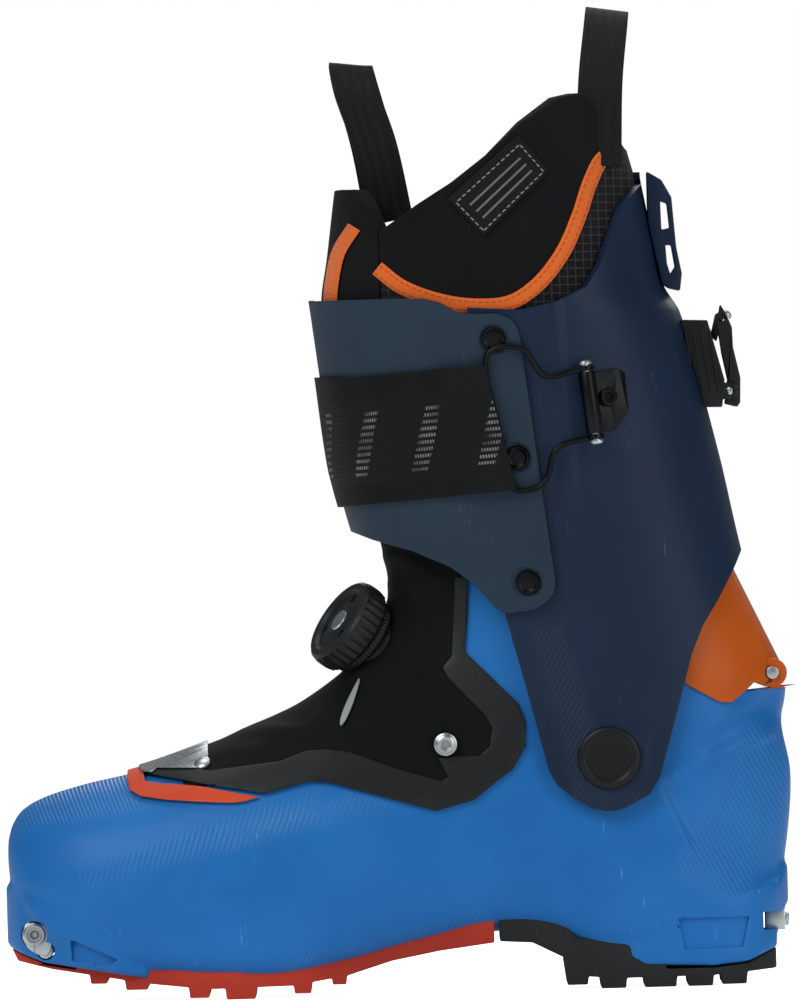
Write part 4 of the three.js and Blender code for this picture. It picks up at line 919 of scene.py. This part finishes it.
# ---- Lace ---------------------------------------------------------------------------------
# Thin steel lace under the gaiter, with a plated hex screw at its end in the frame's corner.
for side, word in ((-1, "outer"), (1, "inner")):
    at = (-60.1, side * (abs(foot_point(np.array(10.9), np.array(side * 80.0), 1.9)[1]) + 0.3), 91.6)
    head = [
        (0, 0.7), (1.5, 0.7), (1.75, 2.3), (2.6, 2.5), (3.4, 2.1), (3.6, 1.2), (4.2, 0.9), (4.3, 0.2),
        (1.9, 0), (1.9, -6), (0, -6)
    ]
    fit(
        turned(f"lace_bolt_{word}", head, at, (0, side, 0), 48), "shell", steel, "hardware_steel",
        f"lace_screw_{word}"
    )
    wire = refined(f"lace_{word}", f"lace_wire_{word}", 0, merge=0.01)
    fit(smooth(wire, 70), "shell", steel, "hardware_steel", f"lace_{word}")

# ---- Cuff ---------------------------------------------------------------------------------
# The cuff wraps the calf from behind and turns on the ankle bolts. It is moulded in navy nylon with
# a satin skin, a raised ridge down each side and fine ribs low on its arms.
CUFF_SLICES = np.array([
    [40, -70, 68, 42], [100, -72, 63, 42.4], [140, -80, 57, 44.5], [160, -87, 51.4, 46.2],
    [193, -95.7, 44.7, 49.5],
    [233, -100.7, 35.3, 53.5], [250, -102.7, 31, 55], [258, -103.7, 26, 55.5], [275, -106, 22.5, 56.5],
    [310, -110, 16, 58.5],
])
LEG_SQUARENESS = 2.35


def slice_at(slices, z):
    return [
        np.interp(z, slices[:, 0], slices[:, i]) * 0.4 + curve_at(slices[:, 0], slices[:, i], z) * 0.6
        for i in (1, 2, 3)
    ]


def leg_point(slices, turn, z, grow):
    """Points on a leg's form. Turns run in degrees from the rear, and up to 180 is the outer side."""
    front, rear, half = slice_at(slices, z)
    c, s = np.cos(np.radians(turn)), np.sin(np.radians(turn))
    x = (front + rear) / 2 + ((rear - front) / 2 + grow) * np.sign(c) * np.abs(c) ** (2 / LEG_SQUARENESS)
    y = -(half + grow) * np.sign(s) * np.abs(s) ** (2 / LEG_SQUARENESS)
    return np.stack([x, y, z + 0 * x], axis=-1)


def leg_skin(slices, grid, grow):
    """A grid of turns and heights, laid on a leg's form."""
    return leg_point(slices, grid[..., 0], grid[..., 1], grow)


def turn_at(slices, x, z, grow=0.0):
    """The turn of a point of the side view on a leg's outer side."""
    front, rear, _ = slice_at(slices, z)
    c = np.clip((x - (front + rear) / 2) / ((rear - front) / 2 + grow), -1, 1)
    return np.degrees(np.arccos(np.sign(c) * np.abs(c) ** (LEG_SQUARENESS / 2)))


def reach(slices, x, z, grow=0.0):
    """How far a leg's form stands out at a point of the side view."""
    return -leg_point(slices, turn_at(slices, x, z, grow), np.asarray(z, float), grow)[..., 1]


def edge_line(slices, line, count, grow=0.0):
    """An edge of the side view as evenly spaced turns and heights."""
    dense = []
    for point, after in zip(line, line[1:]):
        for t in np.linspace(0, 1, 24, endpoint=False):
            dense.append((point[0] + (after[0] - point[0]) * t, point[1] + (after[1] - point[1]) * t))
    dense = np.array(dense + [line[-1]], float)
    turns = np.stack([turn_at(slices, dense[:, 0], dense[:, 1], grow), dense[:, 1]], axis=-1)
    run = np.concatenate([[0], np.cumsum(np.hypot(np.diff(turns[:, 0]) * 0.9, np.diff(turns[:, 1])))])
    at = np.linspace(0, run[-1], count)
    return np.stack([np.interp(at, run, turns[:, 0]), np.interp(at, run, turns[:, 1])], axis=-1)


def patch(slices, low, high, start, end, columns, rows, grow=0.0):
    """Turns and heights of a grid between four edges: low and high run from start to end."""
    low, high = (edge_line(slices, line, columns, grow) for line in (low, high))
    start, end = (edge_line(slices, line, rows, grow) for line in (start, end))
    u = np.linspace(0, 1, columns)[None, :, None]
    v = np.linspace(0, 1, rows)[:, None, None]
    ruled = (1 - v) * low[None] + v * high[None] + (1 - u) * start[:, None] + u * end[:, None]
    corners = (1 - u) * (1 - v) * low[0] + u * (1 - v) * low[-1] + (1 - u) * v * high[0] + u * v * high[-1]
    return ruled - corners


def both_sides(half, middle):
    """A grid that runs from one side's free edge, over the middle turn, to the other side's."""
    mirrored = half.copy()
    mirrored[..., 0] = 2 * middle - mirrored[..., 0]
    return np.concatenate([half[:, ::-1], mirrored[:, 1:]], axis=1)


def wall(name, outer, inner, bevel=0.6, segments=3):
    """A closed sheet between two grids of points, with its rim rounded and a flat map in millimetres."""
    rows, columns = outer.shape[:2]
    count = rows * columns
    faces = grid_faces(rows, columns) + [tuple(reversed(f)) for f in grid_faces(rows, columns, count)]
    rim = [(0, j) for j in range(columns)] + [(i, columns - 1) for i in range(1, rows)]
    rim += [(rows - 1, j) for j in range(columns - 2, -1, -1)] + [(i, 0) for i in range(rows - 2, 0, -1)]
    rim = [i * columns + j for i, j in rim]
    faces += [(b, a, a + count, b + count) for a, b in zip(rim, rim[1:] + rim[:1])]
    u = np.cumsum(np.linalg.norm(np.diff(outer, axis=1, prepend=outer[:, :1]), axis=-1), axis=1)
    v = np.cumsum(np.linalg.norm(np.diff(outer, axis=0, prepend=outer[:1]), axis=-1), axis=0)
    u = np.broadcast_to(u.mean(axis=0), u.shape)
    v = np.broadcast_to(v.mean(axis=1, keepdims=True), v.shape)
    flat = np.stack([u, v], axis=-1).reshape(-1, 2)
    made = mesh_object(
        name, np.concatenate([outer.reshape(-1, 3), inner.reshape(-1, 3)]), faces,
        np.concatenate([flat, flat]),
    )
    return soften(outward(made), bevel, 50, segments)


CUFF_WALL = 3
RIVETS = ((-38.6, 240.3), (-30.6, 196.4), (-28.1, 150.4))
CUFF_LOW = [
    (60, 161), (51.4, 160.4), (48.1, 153.4), (42.1, 142.5), (35.9, 132.8), (31.5, 122.4), (28.6, 112.1),
    (18.6, 77.5), (14.5, 71), (4.8, 66.2), (0, 65.2), (-6.5, 66.4), (-13, 70.2),
]
CUFF_FRONT = [(-13, 70.2), (-19.5, 75.5), (-22.3, 80.8), (-31.1, 116.7), (-40, 150), (-44, 180), (-48, 252)]
CUFF_HIGH = [
    (60, 300.8), (23.1, 300.8), (16.4, 294), (10.6, 287.5), (6.5, 278.1), (1.5, 265.9), (-3.5, 258.6),
    (-14.9, 253.3), (-27.8, 250.7), (-48, 252),
]
RIDGE = [(-19, 254), (-14, 254), (-11.5, 214), (-9, 184), (-13, 184), (-17, 214)]
half = patch(CUFF_SLICES, CUFF_LOW, CUFF_HIGH, [(90, 161), (90, 300.8)], CUFF_FRONT, 110, 120)
grid = both_sides(half, 0)
bare = leg_skin(CUFF_SLICES, grid, 0)
x, z = bare[..., 0], bare[..., 2]
relief = (
    0.8 * within(x, z, RIDGE, 1.5) - 0.45 * within(
        x, z, [(-60, 262), (-19.5, 262), (-16, 200), (-14, 130), (-60, 130)], 1.6
    )
    + 0.5 * within(
        x, z, [(p[0] * 0.75, 85 + (p[1] - 85) * 0.75)
        for p in ((17.5, 77), (11, 69), (0, 65), (-11, 69), (-19, 77), (-19, 90), (0, 106), (19, 90))], 1.2
    )
    - 0.5 * within(x, z, [(6, 300), (22, 300), (28, 268), (40, 230), (33, 226), (18, 262)], 3)
)
cuff_navy = moulded(
    "cuff_navy", (0.0070, 0.0185, 0.046), (0.0090, 0.0235, 0.058), (0.10, 0.14, 0.20), 0.42,
    fields=((-14, 104, 104, 34, 9, 60, 1.7), (2, 70, 0, 20, 5, 60, 1.7)), rib_depth=0.8,
)
cuff = wall("cuff_shell", leg_skin(CUFF_SLICES, grid, relief), leg_skin(CUFF_SLICES, grid, -CUFF_WALL), 0.8)
fit(cuff, "cuff", cuff_navy, "cuff_navy", "rear_cuff")
fit(refined("rear_spoiler", "cuff_spoiler", 0.5), "cuff", cuff_navy, "cuff_navy", "rear_spoiler")

# ---- Front flap ---------------------------------------------------------------------------
# A softer slate-blue plate wraps the shin over the cuff's front edges. Three rivets on each side
# hold it, each in a raised ring of the moulding.
FLAP_OUT = 2.75
FLAP_IN = 0.35
FLAP_LOW = [
    (-140, 171.4), (-91.6, 171.4), (-82.8, 167.6), (-68.4, 162.9), (-55, 156.6), (-45.1, 148.7),
    (-39.5, 141.5), (-37, 139.6), (-34, 139.1), (-25.5, 140.3), (-21.5, 142.6)
]
FLAP_REAR = [
    (-21.5, 142.6), (-18.6, 145.8), (-17.8, 149.5), (-21.3, 177), (-28.9, 241), (-30, 244.6), (-32.6, 247.8)
]
FLAP_HIGH = [
    (-140, 256.6), (-63.4, 255.8), (-57.4, 254.1), (-52.4, 251), (-48, 249.8), (-43.9, 249.5),
    (-37.5, 249.6), (-32.6, 247.8)
]
half = patch(CUFF_SLICES, FLAP_LOW, FLAP_HIGH, [(-150, 171.4), (-150, 256.6)], FLAP_REAR, 110, 90)
grid = both_sides(half, 180)
bare = leg_skin(CUFF_SLICES, grid, 0)
rings = sum(
    np.exp(-(((np.hypot(bare[..., 0] - x, bare[..., 2] - z) - 6.3) / 0.9) ** 2)) * 0.7
    - 0.4 * (np.hypot(bare[..., 0] - x, bare[..., 2] - z) < 5.4) for x, z in RIVETS
)
flap_slate = moulded("flap_slate", (0.0155, 0.032, 0.054), (0.019, 0.039, 0.064), (0.13, 0.17, 0.21), 0.5)
flap = wall(
    "front_plate", leg_skin(CUFF_SLICES, grid, FLAP_OUT + rings),
    leg_skin(CUFF_SLICES, grid, FLAP_IN), 0.8
)
fit(flap, "cuff", flap_slate, "flap_slate", "front_flap")
hardware_black = metal(
    "black_steel", (0.012, 0.013, 0.014), (0.022, 0.023, 0.024), 0.34, wear=(0.2, 0.2, 0.2)
)
RIVET = [
    (0, 0.75), (1.4, 0.8), (2.6, 0.7), (3.0, 0.95), (3.5, 1.35), (4.1, 1.2), (4.5, 0.6), (4.5, 0), (2.0, 0),
    (2.0, -6.8), (0, -6.8)
]
for side, word in ((-1, "outer"), (1, "inner")):
    for number, (x, z) in enumerate(RIVETS, 1):
        face = float(reach(CUFF_SLICES, np.array(x), np.array(z), FLAP_OUT)) + 0.2
        slant = float(reach(CUFF_SLICES, np.array(x), np.array(z - 5), FLAP_OUT)) + 0.2 - face
        made = turned(
            f"plate_rivet_{word}_{number}", RIVET, (x, side * face, z), (-0.1, side, slant / 5), 40
        )
        fit(made, "cuff", hardware_black, "hardware_black", f"flap_rivet_{word}_{number}")

# ---- Ankle --------------------------------------------------------------------------------
# Each side turns on a bolt with a broad black cap, in a bush in the cuff's arm and a steel sleeve
# in the shell. Only the cap shows, with a raised lip and a slightly dished middle.
CAP = [
    (0, 1.0), (3.5, 0.95), (6.6, 0.75), (7.9, 0.85), (8.5, 1.35), (9.3, 1.75), (10.4, 1.7), (11.2, 1.25),
    (11.6, 0.5), (11.6, 0), (3.85, 0), (3.85, -7.2), (0, -7.2),
]
for side, word in ((-1, "outer"), (1, "inner")):
    fit(
        turned(f"ankle_cap_{word}", CAP, (0, side * 42.9, ANKLE_HEIGHT), (0, side, 0), 72), "shell",
        plastic_black, "plastic_black", f"ankle_bolt_{word}"
    )
    for node, material in ((f"ankle_sleeve_{word}", steel), (f"ankle_bush_{word}", board_grey)):
        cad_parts[node].data.materials.clear()
        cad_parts[node].data.materials.append(material)

# ---- Rear spine ---------------------------------------------------------------------------
# An orange strut behind the heel, hinged on a steel pin in the shell's rear knuckle. It goes up
# inside the cuff and locks the cuff's lean.
spine_orange = moulded("spine_orange", (0.50, 0.085, 0.006), (0.60, 0.115, 0.010), (0.75, 0.36, 0.16), 0.38)
fit(refined("spine", "heel_spine", 0.45, 32, 0.15), "rear_spine", spine_orange, "spine_orange", "spine")
fit(refined("spine_pin", "heel_pin", 0.3), "shell", steel, "hardware_steel", "spine_pin")

# ---- Strap, bail and hook -----------------------------------------------------------------
# A webbing strap is held on the inner side and goes round the shin to a bent wire bail. The bail
# drops into a steel hook on the cuff, and turns on the hook's pin.
STRAP_LOW = [(-150, 182.5), (-110, 182.2), (-93.5, 179.9), (-60, 182.3), (-30.9, 184.5)]
STRAP_HIGH = [(-150, 226.5), (-103, 228.3), (-88, 227.3), (-60, 229.4), (-41.1, 230.6)]
STRAP_IN = 3.1
half = patch(
    CUFF_SLICES, STRAP_LOW, STRAP_HIGH, [(-160, 182.5), (-160, 226.5)], [(-30.9, 184.5), (-41.1, 230.6)],
    110, 40
)
grid = both_sides(half, 180)
bare = leg_skin(CUFF_SLICES, grid, 0)
outer_side = bare[..., 1] < 0
split = bare[..., 0] - (-43.5 - (bare[..., 2] - 184) * 0.19)
loop = np.where(outer_side, np.clip((split + 13) / 12, 0, 1), 0)
loop = loop * loop * (3 - 2 * loop)
seam = np.where(outer_side, np.exp(-((split + 11) / 0.8) ** 2), 0)
ripple = 0.12 * np.sin(bare[..., 0] * 0.5 + bare[..., 2] * 0.13)
strap = wall(
    "shin_strap",
    leg_skin(CUFF_SLICES, grid, STRAP_IN + 1.75 + 2.6 * loop - 0.35 * seam + ripple),
    leg_skin(CUFF_SLICES, grid, STRAP_IN), 0.6,
)


def flat_map(tree):
    """A piece's own flat map, in millimetres."""
    return put(tree, "SeparateXYZ", put(tree, "TexCoord").outputs["UV"]).outputs


material, tree, shader = start_finish("strap_webbing", 0.62, 0.15, sheen=0.02)
plane = flat_map(tree)
across = size_of(tree, minus(tree, plane["Y"], 23.0))
selvedge = steps(tree, across, 15.2, 15.8)
twill = zigzag(tree, plus(tree, plane["X"], plane["Y"]), 0.75)
upright = zigzag(tree, plane["X"], 0.45)
pick = zigzag(tree, plane["Y"], 0.8)
height = plus(
    tree, times(tree, selvedge, twill),
    times(tree, minus(tree, 1.0, selvedge), plus(tree, upright, times(tree, pick, 0.3))),
)
bar_lean = sum_of(tree, "MULTIPLY_ADD", plane["Y"], 0.45, plane["X"])
bars = steps(tree, zigzag(tree, bar_lean, 13.0), 9.6, 10.0)
rows = steps(tree, zigzag(tree, plane["Y"], 1.25), 0.55, 0.75)
dashes = steps(tree, zigzag(tree, plane["X"], 0.5), 0.12, 0.3)
zone = minus(tree, 1.0, steps(tree, across, 12.0, 12.4))
worn = put(tree, "TexNoise", Vector=put(tree, "TexCoord").outputs["Object"], Scale=70.0, Detail=2.0)
mark = times(tree, times(tree, bars, rows), times(tree, dashes, zone))
mark = times(tree, mark, steps(tree, worn.outputs["Fac"], 0.35, 0.6))
colour = tint(tree, times(tree, height, 0.5), (0.0035, 0.0038, 0.004, 1), (0.016, 0.017, 0.017, 1))
colour = tint(tree, mark, colour, (0.22, 0.23, 0.24, 1))
end_finish(tree, shader, colour, None, height, 0.0004, 0.8)
strap.data.materials.append(material)
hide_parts("strap", "strap_end")
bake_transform(strap)


def tube(name, path, radius, sides=14):
    """A round bar along a line, with flat ends."""
    path = np.asarray(path, float)
    tangents = np.gradient(path, axis=0)
    tangents /= np.linalg.norm(tangents, axis=1, keepdims=True)
    side = np.cross(tangents[0], (0.3, 1, 0.2))
    rings = []
    turns = np.linspace(0, 2 * math.pi, sides, endpoint=False)
    for point, tangent in zip(path, tangents):
        side = side - tangent * side.dot(tangent)
        side /= np.linalg.norm(side)
        other = np.cross(tangent, side)
        rings.append(point + radius * (np.outer(np.cos(turns), side) + np.outer(np.sin(turns), other)))
    return smooth(tube_solid(name, np.array(rings)), 50)


BAIL_ROUTE = [
    (-4.8, 228.5), (-9.5, 227.6), (-16, 225.9), (-20.2, 226.3), (-28, 236.3), (-32.2, 237.3), (-38, 236.6),
    (-41, 234.4), (-41.6, 229), (-33.4, 186.8), (-31.6, 184.6), (-28, 184.3), (-23.2, 185.4),
    (-20.3, 188.4), (-17, 198.2), (-14, 200.5), (-7, 202.4), (-1.8, 203.3),
]
BAIL_RADIUS = 1.05
route = rounded_line(BAIL_ROUTE, 150)
depth = np.clip((-route[:, 0] - 8) / 18, 0, 1)
depth = 4.6 + (5.5 - 4.6) * depth * depth * (3 - 2 * depth)
bail = tube(
    "wire_bail",
    np.stack([route[:, 0], -reach(CUFF_SLICES, route[:, 0], route[:, 1], depth), route[:, 1]], axis=-1),
    BAIL_RADIUS
)
hook_y = -float(reach(CUFF_SLICES, np.array(-3.3), np.array(216.0), 4.6))
hook_top, hook_low = np.array((-5.2, hook_y, 231.6)), np.array((-1.4, hook_y, 200.2))
for low, high in ((0.07, 0.128), (0.872, 0.93)):
    ends = [hook_low + (hook_top - hook_low) * t for t in (low, high)]
    thick = float(np.linalg.norm(ends[1] - ends[0]))
    eye = turned(
        "eye", [(1.75, 0), (3.0, 0), (3.0, thick), (1.75, thick), (1.75, 0)], ends[0], ends[1] - ends[0],
        32, 0.3
    )
    carve(bail, eye, "UNION")
fit(smooth(bail, 40), "bail", hardware_black, "hardware_black", "bail")
fit(
    refined("hook_plate", "bail_hook", 0.3, 35, 0.12), "cuff", hardware_black, "hardware_black",
    "hook_plate"
)
pin_head = [(0, 1.75), (1.2, 1.7), (2.2, 1.2), (2.6, 0.5), (2.6, 0), (1.4, 0), (1.4, -15), (0, -15)]
for name, at, way in (
    ("pin_top", hook_top * 0.945 + hook_low * 0.055, hook_top - hook_low),
    ("pin_low", hook_low * 0.945 + hook_top * 0.055, hook_low - hook_top)
):
    nodes = ("hook_pin",) if name == "pin_top" else ()
    fit(turned(f"hook_{name}", pin_head, at, way, 32), "cuff", steel, "hardware_steel", *nodes)
SOCKET_SCREW = [
    (0, 0.5), (1.5, 0.5), (1.7, 1.5), (2.5, 1.6), (3.2, 1.2), (3.4, 0.5), (3.4, 0), (1.5, 0), (1.5, -5),
    (0, -5)
]
face = float(reach(CUFF_SLICES, np.array(3.2), np.array(217.7), 1.95))
fit(
    turned("hook_bolt", SOCKET_SCREW, (3.2, -face - 0.2, 217.7), (0.12, -1, 0.08), 36), "cuff",
    hardware_black, "hardware_black", "hook_screw"
)
fit(
    refined("strap_keeper", "strap_clamp", 0.25, 35, 0.12), "cuff", hardware_black, "hardware_black",
    "strap_keeper"
)

# ---- Ski and walk lever -------------------------------------------------------------------
# A ribbed nylon housing on the cuff's rear holds a steel lock bar. The lever draws the bar up to
# free the spine, and a sprung latch with teeth holds the lever shut.
fit(
    refined("lever_housing", "lever_block", 0.4, 35, 0.12), "cuff", plastic_black, "plastic_black",
    "lever_housing"
)
for y in (-14.0, 14.0):
    for step in range(4):
        x, z = 44.2 - step * 3.0, 229
        rib = prism(
            "rib", [(x, z - 11), (x + 0.9, z - 11), (x - 2.2, z + 13), (x - 3.1, z + 13)],
            *sorted((y * 0.98, y * 1.045))
        )
        rib.name = f"block_rib_{'outer' if y < 0 else 'inner'}_{step + 1}"
        fit(soften(rib, 0.2, 35), "cuff", plastic_black, "plastic_black")
fit(refined("lever", "walk_lever", 0.4, 35, 0.12), "lever", plastic_black, "plastic_black", "lever")
fit(
    refined("lever_latch", "lever_catch", 0.3, 35, 0.1), "latch", plastic_black, "plastic_black",
    "lever_latch"
)
fit(refined("lock_bar", "lock_slide", 0.3, 35, 0.1), "lock", steel, "hardware_steel", "lock_bar")
fit(refined("lever_pin", "lever_axle", 0.2, 35, 0.05), "cuff", steel, "hardware_steel", "lever_pin")
for y in (-6.5, 6.5):
    stud = turned(
        "stud", [(0, 1.1), (1.1, 0.9), (1.9, 0.4), (2.1, -0.3), (0, -0.3)], (48.6, y, 247.4),
        (0.75, 0, 0.45), 24
    )
    stud.name = f"lever_stud_{'outer' if y < 0 else 'inner'}"
    fit(stud, "lever", steel, "hardware_steel")

# ---- Liner --------------------------------------------------------------------------------
# The liner's leg is thermoformed foam under a black cover: ripstop outside, smooth lining above
# the orange piping. Its collar and tongue are padded and round-edged.
LINER_SLICES = np.array([
    [60, -62, 26, 27], [100, -65, 30, 28], [140, -68, 33, 28.5], [168, -70, 30, 35], [193, -88, 33, 44],
    [233, -95, 29.5, 49.5],
    [256, -101.5, 21, 51], [272, -99, 18, 51.5], [300, -95, 14.5, 52], [340, -86, 4, 51],
])
PIPING_LINE = [
    (-80.5, 267.5), (-72.1, 260.6), (-60.1, 255.4), (-46.1, 252.6), (-31.6, 253.5), (-22.2, 259.2),
    (-12.2, 271.1), (-5.5, 285.1), (-1.1, 297.2), (3.6, 305.5), (8.8, 308.6),
]
COLLAR_HIGH = [
    (60, 309), (12, 309.5), (5, 320), (-3.5, 330.1), (-12, 328.5), (-26.1, 319.6), (-40, 307.5),
    (-52.6, 298.1), (-66, 290), (-79.5, 281)
]
half = patch(
    LINER_SLICES, [(60, 196), (20, 197), (-79.5, 203)], COLLAR_HIGH, [(80, 196), (80, 309)],
    [(-79.5, 203), (-79.5, 281)], 100, 90
)
grid = both_sides(half, 0)
bare = leg_skin(LINER_SLICES, grid, 0)
swell = np.array([noise.noise(Vector(p) / 23) for p in bare.reshape(-1, 3)]).reshape(bare.shape[:2])
free = np.clip((bare[..., 2] - 262) / 20, 0, 1)
puff = free * (0.5 + 0.9 * swell)
collar = wall(
    "liner_leg", leg_skin(LINER_SLICES, grid, puff),
    leg_skin(LINER_SLICES, grid, -6 - 0.5 * free), 2.3, 5
)
liner_ripstop = cloth(
    "liner_ripstop", (0.0045, 0.005, 0.0055), (0.0085, 0.009, 0.0095), (0.055, 0.05, 0.055), 0.75,
    ripstop=0.75
)
fit(collar, "cuff", liner_ripstop, "liner_foam", "liner_cuff")
collar.data.materials.append(liner_black)
for face in collar.data.polygons:
    centre = face.center / MM
    border = np.interp(centre.x, [p[0] for p in PIPING_LINE], [p[1] for p in PIPING_LINE])
    inward = face.normal.dot(Vector((-40 - centre.x, -centre.y, 0)).normalized()) > 0.2
    if inward or (centre.z > border and centre.x < 4):
        face.material_index = 1
LINER_WALL = 6
TONGUE_HIGH = [(-140, 297), (-93, 297), (-88, 296.5), (-83.5, 290), (-79.85, 281)]
half = patch(
    LINER_SLICES, [(-140, 208), (-79.85, 203)], TONGUE_HIGH, [(-150, 208), (-150, 297)],
    [(-79.85, 203), (-79.85, 281)], 40, 60
)
grid = both_sides(half, 180)
tongue = wall(
    "liner_tongue_pad", leg_skin(LINER_SLICES, grid, 0),
    leg_skin(LINER_SLICES, grid, -LINER_WALL), 2.2, 5
)
fit(tongue, "cuff", liner_black, "liner_foam", "liner_tongue")


def ribbon(name, slices, line, width, low, high, count=90, side=-1, bevel=0.25):
    """A flat band on a leg's form, along a line of the side view."""
    line = rounded_line(line, count)
    along = np.gradient(line, axis=0)
    along /= np.linalg.norm(along, axis=1, keepdims=True)
    offsets = np.linspace(-width / 2, width / 2, 9)
    x = line[None, :, 0] - offsets[:, None] * along[None, :, 1]
    z = line[None, :, 1] + offsets[:, None] * along[None, :, 0]
    crown = 0.35 * (1 - (offsets[:, None] / (width / 2)) ** 2)
    grids = []
    for grow in (high + crown, low + 0 * crown):
        grids.append(np.stack([x, side * reach(slices, x, z, grow), z], axis=-1))
    return wall(name, *grids, bevel, 2)


material, tree, shader = start_finish("piping_tape", 0.6, 0.3, sheen=0.15)
plane = flat_map(tree)
rib = zigzag(tree, plane["X"], 0.4)
from_middle = size_of(tree, minus(tree, plane["Y"], 2.8))
stitch_row = minus(tree, 1.0, steps(tree, size_of(tree, minus(tree, from_middle, 1.75)), 0.16, 0.3))
stitch = times(tree, stitch_row, steps(tree, zigzag(tree, plane["X"], 1.3), 0.35, 0.55))
colour = tint(tree, rib, (0.80, 0.13, 0.01, 1), (0.95, 0.24, 0.03, 1))
colour = tint(tree, times(tree, stitch, 0.75), colour, (0.45, 0.06, 0.005, 1))
height = minus(tree, rib, times(tree, stitch, 0.6))
end_finish(tree, shader, colour, None, height, 0.0004, 0.8)
PIPING_WIDTH = 5.6
for side, word in ((-1, "outer"), (1, "inner")):
    tape = ribbon(f"piping_tape_{word}", LINER_SLICES, PIPING_LINE, PIPING_WIDTH, 0.2, 0.95, side=side)
    fit(tape, "cuff", material, "piping", f"piping_{word}")
    front = ribbon(
        f"piping_front_{word}", LINER_SLICES, [(-88.5, 283), (-94.5, 274), (-97.5, 262), (-98.5, 252)], 5.2,
        0.2, 0.9, 40, side
    )
    fit(front, "cuff", material, "piping")

# ---- Label and pull loops -----------------------------------------------------------------
# A blank woven label with a stitched border on the collar, and two webbing loops for pulling the
# boot on, each sewn down at its feet.
material, tree, shader = start_finish("label_weave", 0.55, 0.15, sheen=0.02)
plane = flat_map(tree)
fine = place_group(tree, "woven", Plane=put(tree, "TexCoord").outputs["UV"], Pitch=0.35)["Height"]
inset = sum_of(
    tree, "MINIMUM", sum_of(tree, "MINIMUM", plane["X"], minus(tree, 34.0, plane["X"])),
    sum_of(tree, "MINIMUM", plane["Y"], minus(tree, 16.5, plane["Y"])),
)
border = minus(tree, 1.0, steps(tree, size_of(tree, minus(tree, inset, 1.3)), 0.12, 0.28))
dash = steps(tree, zigzag(tree, plus(tree, plane["X"], plane["Y"]), 1.2), 0.4, 0.6)
stripes = steps(tree, zigzag(tree, plane["Y"], 1.6), 1.15, 1.3)
field = steps(tree, inset, 4.2, 4.5)
mark = sum_of(tree, "MAXIMUM", times(tree, border, dash), times(tree, times(tree, stripes, field), 0.5))
colour = tint(tree, mark, (0.008, 0.008, 0.009, 1), (0.35, 0.36, 0.37, 1))
end_finish(tree, shader, colour, None, fine, 0.0002, 0.6)
u, v = np.meshgrid(np.linspace(0, 1, 40), np.linspace(0, 1, 24))
corners = [np.array(p) for p in ((-40.9, 278.2), (-16.2, 301.5), (-27.3, 314.8), (-53.9, 292.2))]
flat = sum(w[..., None] * p for w, p in zip(((1 - u) * (1 - v), u * (1 - v), u * v, (1 - u) * v), corners))
label = wall(
    "liner_patch",
    np.stack([flat[..., 0], -reach(LINER_SLICES, flat[..., 0], flat[..., 1], 2.0), flat[..., 1]], axis=-1),
    np.stack([flat[..., 0], -reach(LINER_SLICES, flat[..., 0], flat[..., 1], 0.2), flat[..., 1]], axis=-1),
    0.3, 2,
)
fit(label, "cuff", material, "black_fabric", "liner_label")


def loop_band(name, path, width_way, width, thickness, count=160):
    """A webbing band along a line in space."""
    path = rounded_line(path, count)
    tangents = np.gradient(path, axis=0)
    tangents /= np.linalg.norm(tangents, axis=1, keepdims=True)
    way = np.asarray(width_way, float)
    flat = way - tangents * (tangents @ way)[:, None]
    flat /= np.linalg.norm(flat, axis=1, keepdims=True)
    normal = np.cross(tangents, flat)
    across = np.linspace(-width / 2, width / 2, 13)
    grids = []
    for lift in (thickness / 2, -thickness / 2):
        grids.append(path[None] + across[:, None, None] * flat[None] + lift * normal[None])
    return wall(name, *grids, 0.35, 2)


material, tree, shader = start_finish("loop_webbing", 0.6, 0.15, sheen=0.02)
plane = flat_map(tree)
herring = zigzag(tree, plus(tree, plane["X"], zigzag(tree, plane["Y"], 2.0)), 0.55)
edge = steps(tree, size_of(tree, minus(tree, plane["Y"], 8.0)), 6.4, 6.8)
height = plus(tree, herring, times(tree, edge, 0.3))
colour = tint(tree, times(tree, herring, 0.8), (0.004, 0.0042, 0.0045, 1), (0.014, 0.0145, 0.015, 1))
end_finish(tree, shader, colour, None, height, 0.0003, 0.8)
LOOP_WIDTH = 16
LOOP_THICK = 1.5
FRONT_LOOP = [
    (-74.5, -15, 285), (-80, -14, 313), (-87, -8.5, 335), (-88.3, -2.5, 342.8), (-86.6, 4, 336),
    (-81, 10, 314), (-77, 12, 290)
]
fit(
    loop_band("loop_front", FRONT_LOOP, (1, 0, -0.12), LOOP_WIDTH, LOOP_THICK), "cuff", material, "webbing",
    "pull_loop_front"
)
foot_y = float(reach(LINER_SLICES, np.array(2.6), np.array(306.0))) + 1.7
REAR_LOOP = [
    (2.6, -foot_y, 303), (4, -26, 335), (6.4, -12, 355), (7.1, 0, 360.6), (6.4, 12, 355), (4, 26, 335),
    (2.6, foot_y, 303)
]
fit(
    loop_band("loop_rear", REAR_LOOP, (1, 0, -0.15), LOOP_WIDTH, LOOP_THICK), "cuff", material, "webbing",
    "pull_loop_rear"
)
